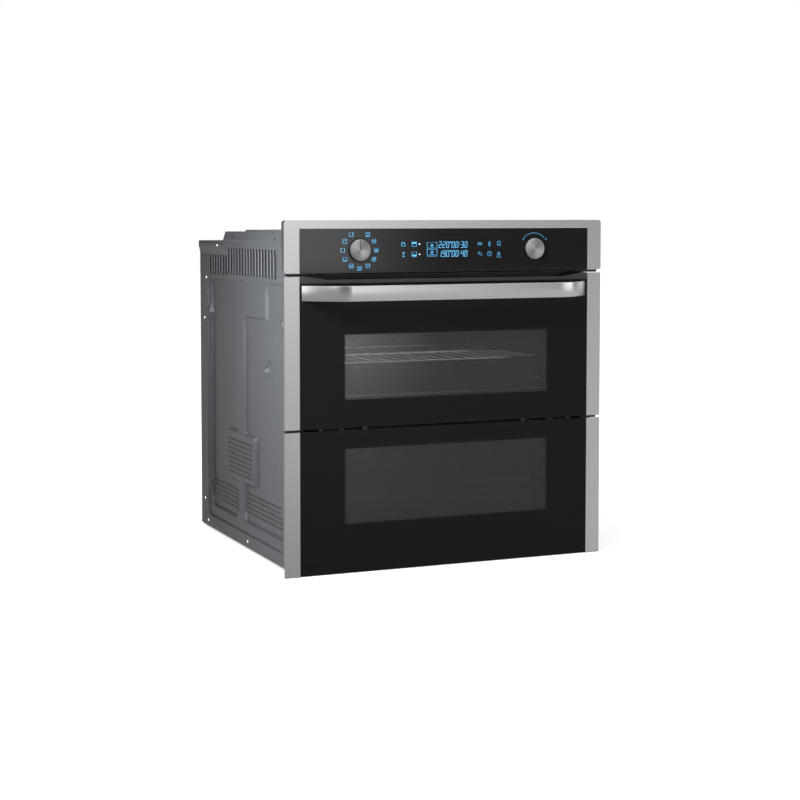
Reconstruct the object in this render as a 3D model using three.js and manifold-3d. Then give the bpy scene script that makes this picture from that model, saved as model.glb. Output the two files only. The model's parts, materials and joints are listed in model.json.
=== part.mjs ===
// Built-in wall oven with a split door, millimetres, +Z up, front facing -Y.
// The origin is the middle of the base plate's underside, which rests on the cabinet shelf.
import * as THREE from 'three';
import { mergeVertices } from 'three/addons/utils/BufferGeometryUtils.js';
import Module from 'manifold-3d';

const wasm = await Module();
wasm.setup();

// ---- Driving dimensions ----
const frontWidth = 595;
const frontHeight = 595;
const frontY = -280;            // outer face of the doors
const frontBottom = -5.5;       // the doors hang below the shelf line
const bodyWidth = 560;
const bodyHeight = 572;
const bodyBackY = 260;
const rearCoverY = 290;
const sheet = 1.2;              // sheet steel thickness
const fitGap = 0.3;             // gap between touching pieces

const trimWidth = 27;
const trimEdgeDepth = 6;
const glassThickness = 4;
const panelBottom = 501.5;
const panelTopStrip = 13.4;
const doorTop = 496.7;
const doorCapBottom = 484.5;
const splitZ = 239.8;
const splitGap = 4;

const dialX = 164;
const dialZ = 539.5;
const dialRadius = 18.5;
const dialProud = 5;

const handleBottom = 456;
const handleTop = 481.8;
const handleEndX = 267;
const handleBendX = 196;
const handleReach = 46;
const handleThickness = 3;

const cavityHalfWidth = 220;
const cavityBottom = 62;
const cavityTop = 427;
const cavityBackY = 165;
const cavityCorner = 14;
const baffleY = 127;

const upperFanZ = 338;
const lowerFanZ = 150;
const fanRadius = 60;
const ringHeaterRadius = 73;
const heaterLeadX = 14;
const heaterTubeRadius = 3.5;

const lowerPivot = { y: -260, z: 7 };
const upperPivot = { y: -279, z: splitZ };

// ---- Derived sizes ----
const halfFront = frontWidth / 2;
const halfBody = bodyWidth / 2;
const frontTop = frontBottom + frontHeight;
const glassHalf = halfFront - trimWidth;
const framePlaneY = frontY + 34;         // front face of the ring the doors close on
const frameBackY = framePlaneY + 2;
const doorBackY = framePlaneY - 2;
const lowerDoorTop = splitZ - splitGap / 2;
const upperDoorBottom = splitZ + splitGap / 2;
const railLevels = [96, 126, 172, 204, 230, 272, 305, 338];
const trayRail = railLevels[1];
const dividerRail = railLevels[4];
const rackRail = railLevels[7];
const wireRadius = 2.5;

// ---- Finishes ----
const finishes = {
  brushedSteel: { color: 0xb4b6b8, roughness: 0.35, metalness: 1 },
  galvanised: { color: 0x6f747a, roughness: 0.5, metalness: 0.8 },
  blackGlass: { color: 0x0b0c0e, roughness: 0.06, metalness: 0 },
  innerGlass: { color: 0x2a2c2e, roughness: 0.08, metalness: 0 },
  blackPaint: { color: 0x121214, roughness: 0.45, metalness: 0 },
  blackPlastic: { color: 0x17181a, roughness: 0.55, metalness: 0 },
  enamel: { color: 0x2b2d33, roughness: 0.3, metalness: 0 },
  chromeWire: { color: 0xc9ccd0, roughness: 0.18, metalness: 1 },
  castAluminium: { color: 0x9da0a4, roughness: 0.45, metalness: 1 },
  glassWool: { color: 0xd8cf9a, roughness: 0.95, metalness: 0 },
  silicone: { color: 0x55585c, roughness: 0.8, metalness: 0 },
  circuitBoard: { color: 0x1d4a34, roughness: 0.6, metalness: 0 },
};

const oven = new THREE.Group();

function addPart(name, solid, finish) {
  const mesh = new THREE.Mesh(toGeometry(solid), new THREE.MeshStandardMaterial(finishes[finish]));
  mesh.name = name;
  oven.add(mesh);
}

// ---- Solids ----
function toSolid(geometry) {
  const bare = geometry.index ? geometry.toNonIndexed() : geometry.clone();
  bare.deleteAttribute('normal');
  bare.deleteAttribute('uv');
  const merged = mergeVertices(bare, 1e-4);
  return new wasm.Manifold(new wasm.Mesh({
    numProp: 3,
    vertProperties: merged.attributes.position.array,
    triVerts: Uint32Array.from(merged.index.array),
  }));
}

function toGeometry(solid) {
  const mesh = solid.getMesh();
  const geometry = new THREE.BufferGeometry();
  geometry.setAttribute('position', new THREE.BufferAttribute(mesh.vertProperties, 3));
  geometry.setIndex(new THREE.BufferAttribute(mesh.triVerts, 1));
  geometry.computeVertexNormals();
  return geometry;
}

function join(...solids) {
  return solids.reduce((whole, piece) => whole.add(piece));
}

function cut(solid, ...tools) {
  return tools.reduce((rest, tool) => rest.subtract(tool), solid);
}

function block([x0, x1], [y0, y1], [z0, z1]) {
  const geometry = new THREE.BoxGeometry(x1 - x0, y1 - y0, z1 - z0);
  geometry.translate((x0 + x1) / 2, (y0 + y1) / 2, (z0 + z1) / 2);
  return toSolid(geometry);
}

// A cylinder along 'x', 'y' or 'z' between two places on that axis.
function rod(axis, from, to, centre, radius, sides = 12) {
  const geometry = new THREE.CylinderGeometry(radius, radius, to - from, sides);
  const middle = (from + to) / 2;
  if (axis === 'x') {
    geometry.rotateZ(-Math.PI / 2);
    geometry.translate(middle, centre[0], centre[1]);
  } else if (axis === 'y') {
    geometry.translate(centre[0], middle, centre[1]);
  } else {
    geometry.rotateX(Math.PI / 2);
    geometry.translate(centre[0], centre[1], middle);
  }
  return toSolid(geometry);
}

function outline(points) {
  return new THREE.Shape(points.map(([u, v]) => new THREE.Vector2(u, v)));
}

function roundedOutline([u0, u1], [v0, v1], radius) {
  const shape = new THREE.Shape();
  shape.absarc(u1 - radius, v0 + radius, radius, -Math.PI / 2, 0);
  shape.absarc(u1 - radius, v1 - radius, radius, 0, Math.PI / 2);
  shape.absarc(u0 + radius, v1 - radius, radius, Math.PI / 2, Math.PI);
  shape.absarc(u0 + radius, v0 + radius, radius, Math.PI, Math.PI * 1.5);
  shape.closePath();
  return shape;
}

// The span of a cutting tool that passes right through a sheet at this place.
const overshoot = 5;
function through(place) {
  return [place - overshoot, place + overshoot];
}

const axisX = new THREE.Vector3(1, 0, 0);
const axisY = new THREE.Vector3(0, 1, 0);
const axisZ = new THREE.Vector3(0, 0, 1);

function extrude(shape, depth, curveSegments) {
  return new THREE.ExtrudeGeometry(shape, { depth, bevelEnabled: false, curveSegments });
}

// An outline of (y, z) points carried along X.
function alongX(shape, [x0, x1], curveSegments = 4) {
  const geometry = extrude(shape, x1 - x0, curveSegments);
  geometry.applyMatrix4(new THREE.Matrix4().makeBasis(axisY, axisZ, axisX));
  geometry.translate(x0, 0, 0);
  return toSolid(geometry);
}

// An outline of (x, z) points carried along Y.
function alongY(shape, [y0, y1], curveSegments = 4) {
  const geometry = extrude(shape, y1 - y0, curveSegments);
  geometry.applyMatrix4(new THREE.Matrix4().makeBasis(axisX, axisZ, axisY.clone().negate()));
  geometry.translate(0, y1, 0);
  return toSolid(geometry);
}

// An outline of (x, y) points carried along Z.
function alongZ(shape, [z0, z1], curveSegments = 4) {
  const geometry = extrude(shape, z1 - z0, curveSegments);
  geometry.translate(0, 0, z0);
  return toSolid(geometry);
}

// The same solid on the other side of the middle plane.
function mirrored(solid) {
  return solid.mirror([1, 0, 0]);
}

// One bent wire of round section through a list of points.
function wire(points, radius, sides = 8, steps = 24) {
  const corners = points.map((p) => new THREE.Vector3(...p));
  const curve = new THREE.CatmullRomCurve3(corners, false, 'centripetal');
  const section = new THREE.Shape();
  section.absarc(0, 0, radius, 0, Math.PI * 2);
  const options = { steps, bevelEnabled: false, extrudePath: curve, curveSegments: sides / 2 };
  return toSolid(new THREE.ExtrudeGeometry(section, options));
}

// The cavity's section, grown outwards by some millimetres.
function cavityOutline(grow) {
  return roundedOutline(
    [-cavityHalfWidth - grow, cavityHalfWidth + grow],
    [cavityBottom - grow, cavityTop + grow],
    cavityCorner,
  );
}

// ---- Body ----
const stepFrontY = 88;            // where the body's top slopes down
const stepBackY = 106;
const sideTopFront = 568;
const sideTopRear = 549.5;
const sideSheet = 1;

function makeSidePanel() {
  const panel = alongX(outline([
    [frameBackY + fitGap, fitGap],
    [bodyBackY, fitGap],
    [bodyBackY, sideTopRear],
    [stepBackY, sideTopRear],
    [stepFrontY, sideTopFront],
    [frameBackY + fitGap, sideTopFront],
  ]), [halfBody - sideSheet, halfBody]);
  const slotCount = 24;
  const shortSlots = 7;
  const slotPitch = 16.3;
  const slotWidth = 6.5;
  const firstSlotY = -182.4;
  const tallSlot = [489.5, 538.5];
  const shortSlot = [485.5, 524.2];
  const slots = [];
  for (let i = 0; i < slotCount; i += 1) {
    const y = firstSlotY + i * slotPitch;
    const heights = i < slotCount - shortSlots ? tallSlot : shortSlot;
    slots.push(block(through(halfBody), [y - slotWidth / 2, y + slotWidth / 2], heights));
  }
  return cut(panel, join(...slots));
}

const sidePanel = makeSidePanel();
addPart('right_side_panel', sidePanel, 'galvanised');
addPart('left_side_panel', mirrored(sidePanel), 'galvanised');

const insideHalf = halfBody - sideSheet - fitGap;
const deckBackY = bodyBackY - 3;
const foldInset = 10;             // how far the folds stop short of the plate's ends

function makeBasePlate() {
  const plate = block([-insideHalf, insideHalf], [frameBackY + fitGap, deckBackY], [0, sheet]);
  const foldHeight = 14;
  const foldSpan = [frameBackY + foldInset, deckBackY - foldInset];
  const fold = block([insideHalf - sheet, insideHalf], foldSpan, [sheet / 2, foldHeight]);
  return join(plate, fold, mirrored(fold));
}
addPart('base_plate', makeBasePlate(), 'galvanised');

function makeTopCover() {
  const lipFrontY = frontY + 23;
  const lipEndY = -20;
  const foldBottom = 548;
  const profile = outline([
    [lipFrontY, bodyHeight - sheet],
    [lipEndY, bodyHeight - sheet],
    [lipEndY, sideTopFront - sheet],
    [stepFrontY, sideTopFront - sheet],
    [stepBackY, sideTopRear - sheet],
    [deckBackY, sideTopRear - sheet],
    [deckBackY, sideTopRear],
    [stepBackY, sideTopRear],
    [stepFrontY, sideTopFront],
    [lipEndY + sheet, sideTopFront],
    [lipEndY + sheet, bodyHeight],
    [lipFrontY, bodyHeight],
  ]);
  const cover = alongX(profile, [-insideHalf, insideHalf]);
  const foldSpan = [frameBackY + foldInset, lipEndY];
  const fold = block([insideHalf - sheet, insideHalf], foldSpan, [foldBottom, bodyHeight - sheet / 2]);
  return join(cover, fold, mirrored(fold));
}
addPart('top_cover', makeTopCover(), 'galvanised');

const rearSheetY = bodyBackY - 2.5;
const rearSheetBackY = rearSheetY + sheet;
const hoodNearY = rearSheetBackY + fitGap;
const cableHole = { x: 150, z: 490, radius: 9 };
const motorWindow = { half: 150, bottom: 110, top: 390 };

function makeRearPanel() {
  const heights = [sheet + fitGap, sideTopRear - sheet - fitGap];
  const panel = block([-insideHalf, insideHalf], [rearSheetY, rearSheetBackY], heights);
  const hole = rod('y', ...through(rearSheetY), [cableHole.x, cableHole.z], cableHole.radius);
  const motorCut = block(
    [-motorWindow.half, motorWindow.half],
    through(rearSheetY),
    [motorWindow.bottom, motorWindow.top],
  );
  return cut(panel, hole, motorCut);
}
addPart('rear_panel', makeRearPanel(), 'galvanised');

// A shallow pressed hood over the fan motors, with rows of slots at its foot and head.
function makeRearFanCover() {
  const hood = { half: 200, bottom: 70, top: 440 };
  const slot = { length: 26, height: 6, pitch: 38, rows: [96, 410], eachSide: 4 };
  const outside = block([-hood.half, hood.half], [hoodNearY, rearCoverY], [hood.bottom, hood.top]);
  const hollow = block(
    [-hood.half + sheet, hood.half - sheet],
    [hoodNearY - overshoot, rearCoverY - sheet],
    [hood.bottom + sheet, hood.top - sheet],
  );
  const slots = [];
  for (const z of slot.rows) {
    for (let i = -slot.eachSide; i <= slot.eachSide; i += 1) {
      const x = i * slot.pitch;
      const width = [x - slot.length / 2, x + slot.length / 2];
      slots.push(block(width, through(rearCoverY), [z - slot.height / 2, z + slot.height / 2]));
    }
  }
  return cut(outside, hollow, join(...slots));
}
addPart('rear_fan_cover', makeRearFanCover(), 'galvanised');

function makeTerminalBlock() {
  const boxBackY = rearCoverY - 4;
  const inlet = { x: 138, bottom: 455, top: 500, radius: 6 };
  const box = block([118, 182], [hoodNearY, boxBackY], [466, 520]);
  const cableInlet = rod('z', inlet.bottom, inlet.top, [inlet.x, (hoodNearY + boxBackY) / 2], inlet.radius);
  return cut(box, cableInlet);
}
addPart('terminal_block', makeTerminalBlock(), 'blackPlastic');

// The ring behind the doors, with the flange that stops against the kitchen cabinet.
function makeFrontFrame() {
  const ringHalf = halfBody - 2;
  const flange = { half: 290, bottom: 20, top: 455, frontY: frontY + 21, thickness: 2 };
  const outlet = { half: 210, bottom: 498, top: 513 };
  const slot = { near: 234, far: 248, bottom: 1, top: 13 };
  const shaftHoleRadius = 6;
  const heights = [flange.bottom, flange.top];
  const ring = alongY(roundedOutline([-ringHalf, ringHalf], [2, 566], 3), [framePlaneY, frameBackY]);
  const wall = block([ringHalf - flange.thickness, ringHalf], [flange.frontY, frameBackY], heights);
  const stop = block(
    [ringHalf - flange.thickness, flange.half],
    [flange.frontY, flange.frontY + flange.thickness],
    heights,
  );
  const mouth = alongY(cavityOutline(2), through(framePlaneY));
  const airOutlet = block([-outlet.half, outlet.half], through(framePlaneY), [outlet.bottom, outlet.top]);
  const hingeSlot = block([slot.near, slot.far], through(framePlaneY), [slot.bottom, slot.top]);
  const shaftHole = rod('y', ...through(framePlaneY), [dialX, dialZ], shaftHoleRadius);
  return cut(join(ring, wall, mirrored(wall), stop, mirrored(stop)),
    mouth, airOutlet, hingeSlot, mirrored(hingeSlot), shaftHole, mirrored(shaftHole));
}
addPart('front_frame', makeFrontFrame(), 'blackPaint');

// ---- Cavity ----
const lampY = 62;
const lampZ = 384;
const lampRadius = 23;
const shellFrontY = frameBackY + fitGap;
const shellBackY = cavityBackY - fitGap;

function makeCavityShell() {
  const outside = alongY(cavityOutline(sheet), [shellFrontY, shellBackY]);
  const inside = alongY(cavityOutline(0), [shellFrontY - overshoot, shellBackY + overshoot]);
  const lampHole = rod('x', ...through(-cavityHalfWidth), [lampY, lampZ], lampRadius + 1, 16);
  return cut(outside, inside, lampHole);
}
addPart('cavity_shell', makeCavityShell(), 'enamel');

function makeCavityBackWall() {
  const wall = alongY(cavityOutline(sheet), [cavityBackY, cavityBackY + sheet]);
  const holes = [];
  for (const z of [upperFanZ, lowerFanZ]) {
    holes.push(rod('y', ...through(cavityBackY), [0, z], 7));
    for (const side of [-1, 1]) {
      holes.push(rod('y', ...through(cavityBackY), [side * heaterLeadX, z - ringHeaterRadius], 5, 8));
    }
  }
  return cut(wall, ...holes);
}
addPart('cavity_back_wall', makeCavityBackWall(), 'enamel');

function makeInsulation() {
  const thickness = 22;
  const outside = alongY(cavityOutline(thickness), [shellFrontY + 2, shellBackY]);
  const inside = alongY(cavityOutline(sheet + fitGap), [shellFrontY - overshoot, shellBackY + overshoot]);
  const holeEnds = [-cavityHalfWidth - 2 * thickness, -cavityHalfWidth];
  const lampHole = rod('x', ...holeEnds, [lampY, lampZ], lampRadius + 1, 16);
  return cut(outside, inside, lampHole);
}
addPart('insulation_blanket', makeInsulation(), 'glassWool');

function makeGasket() {
  const front = doorBackY + fitGap;
  const back = framePlaneY - fitGap;
  const width = 9;
  const rim = { half: 238, bottom: 46, top: 444, corner: 20 };
  const rimOutline = (inset, corner) => roundedOutline(
    [-rim.half + inset, rim.half - inset],
    [rim.bottom + inset, rim.top - inset],
    corner,
  );
  const outside = alongY(rimOutline(0, rim.corner), [front, back]);
  const inside = alongY(rimOutline(width, rim.corner - 6), [front - overshoot, back + overshoot]);
  return cut(outside, inside);
}
addPart('door_gasket', makeGasket(), 'silicone');

// One plate in front of both fans, with a wheel of air slots before each.
function makeFanBaffle() {
  const section = roundedOutline([-196, 196], [cavityBottom + 6, cavityTop - 6], 12);
  const plate = alongY(section, [baffleY, baffleY + sheet]);
  const slotSpan = [14, 40];
  const slotCount = 10;
  const slots = [];
  for (const z of [upperFanZ, lowerFanZ]) {
    for (let i = 0; i < slotCount; i += 1) {
      const slot = block(slotSpan, through(baffleY), [-4, 4]);
      slots.push(slot.rotate([0, (360 / slotCount) * i, 0]).translate([0, 0, z]));
    }
  }
  return cut(plate, join(...slots));
}
addPart('fan_baffle', makeFanBaffle(), 'enamel');

function makeRingHeater(z) {
  const heaterY = cavityBackY - 17;
  const torus = new THREE.TorusGeometry(ringHeaterRadius, heaterTubeRadius, 6, 24);
  torus.rotateX(Math.PI / 2);
  torus.translate(0, heaterY, z);
  const lead = rod('y', heaterY, cavityBackY + 17, [heaterLeadX, z - ringHeaterRadius + 0.8], 3.2, 8);
  return join(toSolid(torus), lead, mirrored(lead));
}
addPart('upper_ring_heater', makeRingHeater(upperFanZ), 'castAluminium');
addPart('lower_ring_heater', makeRingHeater(lowerFanZ), 'castAluminium');

// A tube bent to and fro under the cavity roof.
function makeGrillElement() {
  const z = cavityTop - 14;
  const points = [];
  const runCount = 5;
  const runPitch = 56;
  const firstRunY = -200;
  const runHalf = 165;
  const bendX = 178;
  for (let i = 0; i < runCount; i += 1) {
    const y = firstRunY + i * runPitch;
    const side = i % 2 === 0 ? 1 : -1;
    points.push([side * -runHalf, y, z], [0, y, z], [side * runHalf, y, z]);
    points.push([side * bendX, y + runPitch / 2, z]);
  }
  points.pop();
  return wire(points, heaterTubeRadius, 6, 48);
}
addPart('grill_element', makeGrillElement(), 'castAluminium');

function makeLampLens() {
  const profile = [
    [0, 7], [9, 6.4], [17, 4.2], [lampRadius, 0], [lampRadius, -14], [0, -14],
  ].map(([r, height]) => new THREE.Vector2(r, height)).reverse();
  const lens = new THREE.LatheGeometry(profile, 20);
  lens.rotateZ(-Math.PI / 2);
  lens.translate(-cavityHalfWidth, lampY, lampZ);
  return toSolid(lens);
}
addPart('lamp_lens', makeLampLens(), 'innerGlass');

// Two uprights carrying the support rails of one side.
function makeShelfGuide() {
  const railX = cavityHalfWidth - 8;
  const railEnds = [-216, 106];
  const uprightX = cavityHalfWidth - 4;
  const uprightEnds = [78, 356];
  const parts = [];
  for (const y of [-205, 95]) {
    parts.push(rod('z', ...uprightEnds, [uprightX, y], wireRadius, 6));
  }
  for (const z of railLevels) {
    parts.push(rod('y', ...railEnds, [railX, z], wireRadius, 6));
  }
  return join(...parts);
}
const shelfGuide = makeShelfGuide();
addPart('right_shelf_guide', shelfGuide, 'chromeWire');
addPart('left_shelf_guide', mirrored(shelfGuide), 'chromeWire');

// ---- Racks in the cavity ----
const rackFrontY = -222;
const rackBackY = 112;

function makeWireRack() {
  const z = rackRail + 5.2;
  const sideX = 208.6;
  const frameRadius = 3;
  const parts = [];
  for (const side of [-1, 1]) {
    parts.push(rod('y', rackFrontY, rackBackY, [side * sideX, z], frameRadius, 6));
  }
  for (const y of [rackFrontY + frameRadius, -60, rackBackY - frameRadius]) {
    parts.push(rod('x', -sideX, sideX, [y, z], frameRadius, 6));
  }
  const wireCount = 13;
  const pitch = 30;
  for (let i = 0; i < wireCount; i += 1) {
    const x = (i - (wireCount - 1) / 2) * pitch;
    parts.push(rod('y', rackFrontY + 2, rackBackY - 2, [x, z + 1.5], 1.5, 5));
  }
  return join(...parts);
}
addPart('wire_rack', makeWireRack(), 'chromeWire');

const lipHalf = 213;

function makeBakingTray() {
  const lipZ = trayRail + wireRadius + fitGap;
  const depth = 26;
  const wall = 2;
  const pan = { half: 204, front: rackFrontY + 8, back: rackBackY - 8, corner: 16 };
  const lip = alongZ(roundedOutline([-lipHalf, lipHalf], [rackFrontY, rackBackY], 12), [lipZ, lipZ + 1.5]);
  const outside = alongZ(
    roundedOutline([-pan.half, pan.half], [pan.front, pan.back], pan.corner),
    [lipZ - depth, lipZ + 1],
  );
  const inside = alongZ(
    roundedOutline(
      [-pan.half + wall, pan.half - wall],
      [pan.front + wall, pan.back - wall],
      pan.corner - wall,
    ),
    [lipZ - depth + 1.5, lipZ + overshoot],
  );
  return cut(join(lip, outside), inside);
}
addPart('baking_tray', makeBakingTray(), 'enamel');

// A pressed plate with a rim turned down all round and a grip along its front.
function makeDivider() {
  const z = dividerRail + wireRadius + fitGap;
  const depth = 8;
  const rim = 5;
  const frontEdge = -235;
  const backEdge = baffleY - 2;
  const panel = alongZ(roundedOutline([-lipHalf, lipHalf], [frontEdge, backEdge], 8), [z, z + depth]);
  const hollow = block(
    [-lipHalf + rim, lipHalf - rim],
    [frontEdge + rim, backEdge - rim],
    [z - overshoot, z + depth - 1.5],
  );
  const grip = block([-60, 60], [frontEdge - 2, frontEdge + 13], [z + depth - 5, z + depth + 4]);
  return join(cut(panel, hollow), grip);
}
addPart('divider', makeDivider(), 'enamel');

// ---- Fans ----
const fanShaftRadius = 4;
const shaftClearance = 0.4;

function makeFanMotor(z) {
  const flangeY = 176;
  const canY = 180;
  const can = rod('y', canY, canY + 46, [0, z], 34, 20);
  const flange = block([-44, 44], [flangeY, canY], [z - 20, z + 20]);
  const bore = rod('y', flangeY - overshoot, canY + 36, [0, z], fanShaftRadius + shaftClearance, 12);
  return cut(join(can, flange), bore);
}
addPart('upper_fan_motor', makeFanMotor(upperFanZ), 'castAluminium');
addPart('lower_fan_motor', makeFanMotor(lowerFanZ), 'castAluminium');

function makeFanWheel(z) {
  const bladeCount = 8;
  const bladeInner = 26;
  const bladeFrontY = 136;
  const discY = 156;
  const parts = [
    rod('y', discY, discY + 1.5, [0, z], fanRadius, 24),
    rod('y', bladeFrontY + 4, discY + 1, [0, z], 9, 12),
    rod('y', discY - 6, discY + 58, [0, z], fanShaftRadius, 12),
  ];
  for (let i = 0; i < bladeCount; i += 1) {
    const blade = block([bladeInner, fanRadius - 1], [bladeFrontY, discY + 1], [-0.8, 0.8]);
    parts.push(blade.rotate([0, (360 / bladeCount) * i, 0]).translate([0, 0, z]));
  }
  return join(...parts);
}
addPart('upper_fan_wheel', makeFanWheel(upperFanZ), 'castAluminium');
addPart('lower_fan_wheel', makeFanWheel(lowerFanZ), 'castAluminium');

// ---- Cooling blower above the cavity ----
const blowerY = -168;
const blowerZ = 503;
const blowerHalf = 190;

const scrollRadius = 40;
const drumRadius = 32;

function makeBlowerHousing() {
  const wall = 1.5;
  const ductBottom = 497;
  const ductTop = 514;
  const span = [-blowerHalf, blowerHalf];
  const innerSpan = [-blowerHalf + wall, blowerHalf - wall];
  const scroll = rod('x', ...span, [blowerY, blowerZ], scrollRadius, 20);
  const duct = block(span, [shellFrontY, blowerY], [ductBottom, ductTop]);
  const scrollHollow = rod('x', ...innerSpan, [blowerY, blowerZ], scrollRadius - wall, 20);
  const ductHeights = [ductBottom + wall, ductTop - wall];
  const ductHollow = block(innerSpan, [shellFrontY - overshoot, blowerY], ductHeights);
  const intake = rod('x', ...through(-blowerHalf), [blowerY, blowerZ], 26, 16);
  const shaftHole = rod('x', ...through(blowerHalf), [blowerY, blowerZ], 7);
  return cut(join(scroll, duct), scrollHollow, ductHollow, intake, shaftHole);
}
addPart('blower_housing', makeBlowerHousing(), 'galvanised');

function makeBlowerMotor() {
  const near = blowerHalf + 2;
  const foot = { from: near + 4, to: near + 38, half: 18, bottom: 460, top: 480 };
  const can = rod('x', near, near + 44, [blowerY, blowerZ], 27, 20);
  const footSpan = [blowerY - foot.half, blowerY + foot.half];
  const base = block([foot.from, foot.to], footSpan, [foot.bottom, foot.top]);
  const bore = rod('x', near - overshoot, near + 32, [blowerY, blowerZ], fanShaftRadius + shaftClearance);
  return cut(join(can, base), bore);
}
addPart('blower_motor', makeBlowerMotor(), 'castAluminium');

// A long drum of blades along X.
function makeCoolingImpeller() {
  const reach = blowerHalf - 8;
  const bladeCount = 12;
  const discThickness = 2;
  const parts = [rod('x', -reach, blowerHalf + 32, [0, 0], fanShaftRadius, 12)];
  for (const x of [-reach, -discThickness / 2, reach - discThickness]) {
    parts.push(rod('x', x, x + discThickness, [0, 0], drumRadius, 20));
  }
  for (let i = 0; i < bladeCount; i += 1) {
    const blade = block([-reach, reach], [drumRadius - 9, drumRadius - 1], [-0.6, 0.6]);
    parts.push(blade.rotate([(360 / bladeCount) * i, 0, 0]));
  }
  return join(...parts).translate([0, blowerY, blowerZ]);
}
addPart('cooling_impeller', makeCoolingImpeller(), 'castAluminium');

function makeAirDeflector() {
  const bottom = doorTop + 1.6;
  return block([-225, 225], [frontY + 9, framePlaneY - fitGap], [bottom, bottom + sheet]);
}
addPart('air_deflector', makeAirDeflector(), 'blackPaint');

// ---- Control panel ----
const panelGlassTop = frontTop - panelTopStrip;
const housingFrontY = frontY + glassThickness + fitGap;
const housingBackY = frontY + 22;
const housingWall = 2;

const controlFrameDepth = 13;

function makeControlFrame() {
  const skin = 1.8;
  const corner = 5;
  const behindY = frontY + controlFrameDepth + overshoot;
  const outside = alongY(
    roundedOutline([-halfFront, halfFront], [panelBottom, frontTop], corner),
    [frontY, frontY + controlFrameDepth],
  );
  const hollow = block(
    [-halfFront + skin, halfFront - skin],
    [frontY + skin, behindY],
    [panelBottom + skin, frontTop - skin],
  );
  const underside = block([-270, 270], [frontY + skin, behindY], through(panelBottom));
  const glassHole = block([-glassHalf, glassHalf], through(frontY), [panelBottom + 1.6, panelGlassTop]);
  return cut(outside, hollow, underside, glassHole);
}
addPart('control_frame', makeControlFrame(), 'brushedSteel');

const dialHoleRadius = dialRadius + 1.1;

function dialHoles(y) {
  return join(...[-dialX, dialX].map((x) => rod('y', ...through(y), [x, dialZ], dialHoleRadius, 32)));
}

function makeControlGlass() {
  const half = glassHalf - fitGap;
  const heights = [panelBottom + 1.9, panelGlassTop - fitGap];
  const glass = block([-half, half], [frontY, frontY + glassThickness], heights);
  return cut(glass, dialHoles(frontY));
}
addPart('control_glass', makeControlGlass(), 'blackGlass');

function makeControlHousing() {
  const half = 268;
  const bottom = 505;
  const top = 574;
  const outside = block([-half, half], [housingFrontY, housingBackY], [bottom, top]);
  const hollow = block(
    [-half + housingWall, half - housingWall],
    [housingFrontY + housingWall, housingBackY + overshoot],
    [bottom + housingWall, top - housingWall],
  );
  return cut(outside, hollow, dialHoles(housingFrontY));
}
addPart('control_housing', makeControlHousing(), 'blackPlastic');

function makeDisplayBoard() {
  const nearY = housingFrontY + housingWall + fitGap;
  const boardY = nearY + 3;
  const board = block([-116, 116], [boardY, boardY + 1.6], [512, 568]);
  const display = block([-92, 106], [nearY, boardY + 0.2], [526, 566]);
  return join(board, display);
}
addPart('display_board', makeDisplayBoard(), 'circuitBoard');

const dialLength = 18;
const dialBackY = frontY - dialProud + dialLength;
const dialShaftRadius = 3;

function makeDial(x) {
  const bevel = 1;
  const profile = [
    [0, 0],
    [dialRadius, 0],
    [dialRadius, dialLength - bevel],
    [dialRadius - bevel, dialLength],
    [0, dialLength],
  ].map(([r, height]) => new THREE.Vector2(r, height));
  const dial = new THREE.LatheGeometry(profile, 32);
  dial.rotateX(Math.PI);
  dial.translate(x, dialBackY, dialZ);
  return toSolid(dial);
}

function makeDialShaft(x) {
  const discBackY = dialBackY + 1.8;
  const disc = rod('y', dialBackY + fitGap, discBackY, [x, dialZ], 8, 16);
  const shaft = rod('y', discBackY - 0.8, dialBackY + 30, [x, dialZ], dialShaftRadius, 12);
  return join(disc, shaft);
}

function makeDialEncoder(x) {
  const half = 11;
  const near = housingBackY - 2;
  const far = housingBackY + 10;
  const box = block([x - half, x + half], [near, far], [dialZ - half, dialZ + half]);
  const bore = rod('y', near - overshoot, far + overshoot, [x, dialZ], dialShaftRadius + shaftClearance);
  return cut(box, bore);
}

for (const [side, x] of [['left', -dialX], ['right', dialX]]) {
  addPart(`${side}_dial`, makeDial(x), 'brushedSteel');
  addPart(`${side}_dial_shaft`, makeDialShaft(x), 'castAluminium');
  addPart(`${side}_dial_encoder`, makeDialEncoder(x), 'blackPlastic');
}

// ---- Doors ----
const doorFrameHalf = glassHalf - fitGap;
const doorFrameFrontY = frontY + glassThickness + fitGap;
const windowHalf = 196;
const innerGlassHalf = 230;
const doorSkin = 1.5;
const innerGlassFrontY = doorBackY - 4.1;

const innerGlassClearance = 1;

const lowerLeaf = {
  frame: [9, 234],
  window: [75, 211],
  innerGlass: [28, 228],
};
const upperLeaf = {
  frame: [246, doorCapBottom - fitGap],
  window: [293.5, 410],
  innerGlass: [252, 472],
};

// A folded steel tray, open towards the outer glass, with a tunnel round its window.
function makeDoorFrame(leaf) {
  const [bottom, top] = leaf.frame;
  const [windowBottom, windowTop] = leaf.window;
  const [glassBottom, glassTop] = leaf.innerGlass;
  const shell = block([-doorFrameHalf, doorFrameHalf], [doorFrameFrontY, doorBackY], [bottom, top]);
  const pocket = block(
    [-doorFrameHalf + doorSkin, doorFrameHalf - doorSkin],
    [doorFrameFrontY - overshoot, doorBackY - 6],
    [bottom + doorSkin, top - doorSkin],
  );
  const tunnel = block(
    [-windowHalf - doorSkin, windowHalf + doorSkin],
    [doorFrameFrontY - 2 * overshoot, doorBackY],
    [windowBottom - doorSkin, windowTop + doorSkin],
  );
  const sight = block([-windowHalf, windowHalf], [frontY, 0], [windowBottom, windowTop]);
  const seat = block(
    [-innerGlassHalf - innerGlassClearance, innerGlassHalf + innerGlassClearance],
    [innerGlassFrontY - fitGap, 0],
    [glassBottom - innerGlassClearance, glassTop + innerGlassClearance],
  );
  return cut(shell, cut(pocket, tunnel), sight, seat);
}

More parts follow.
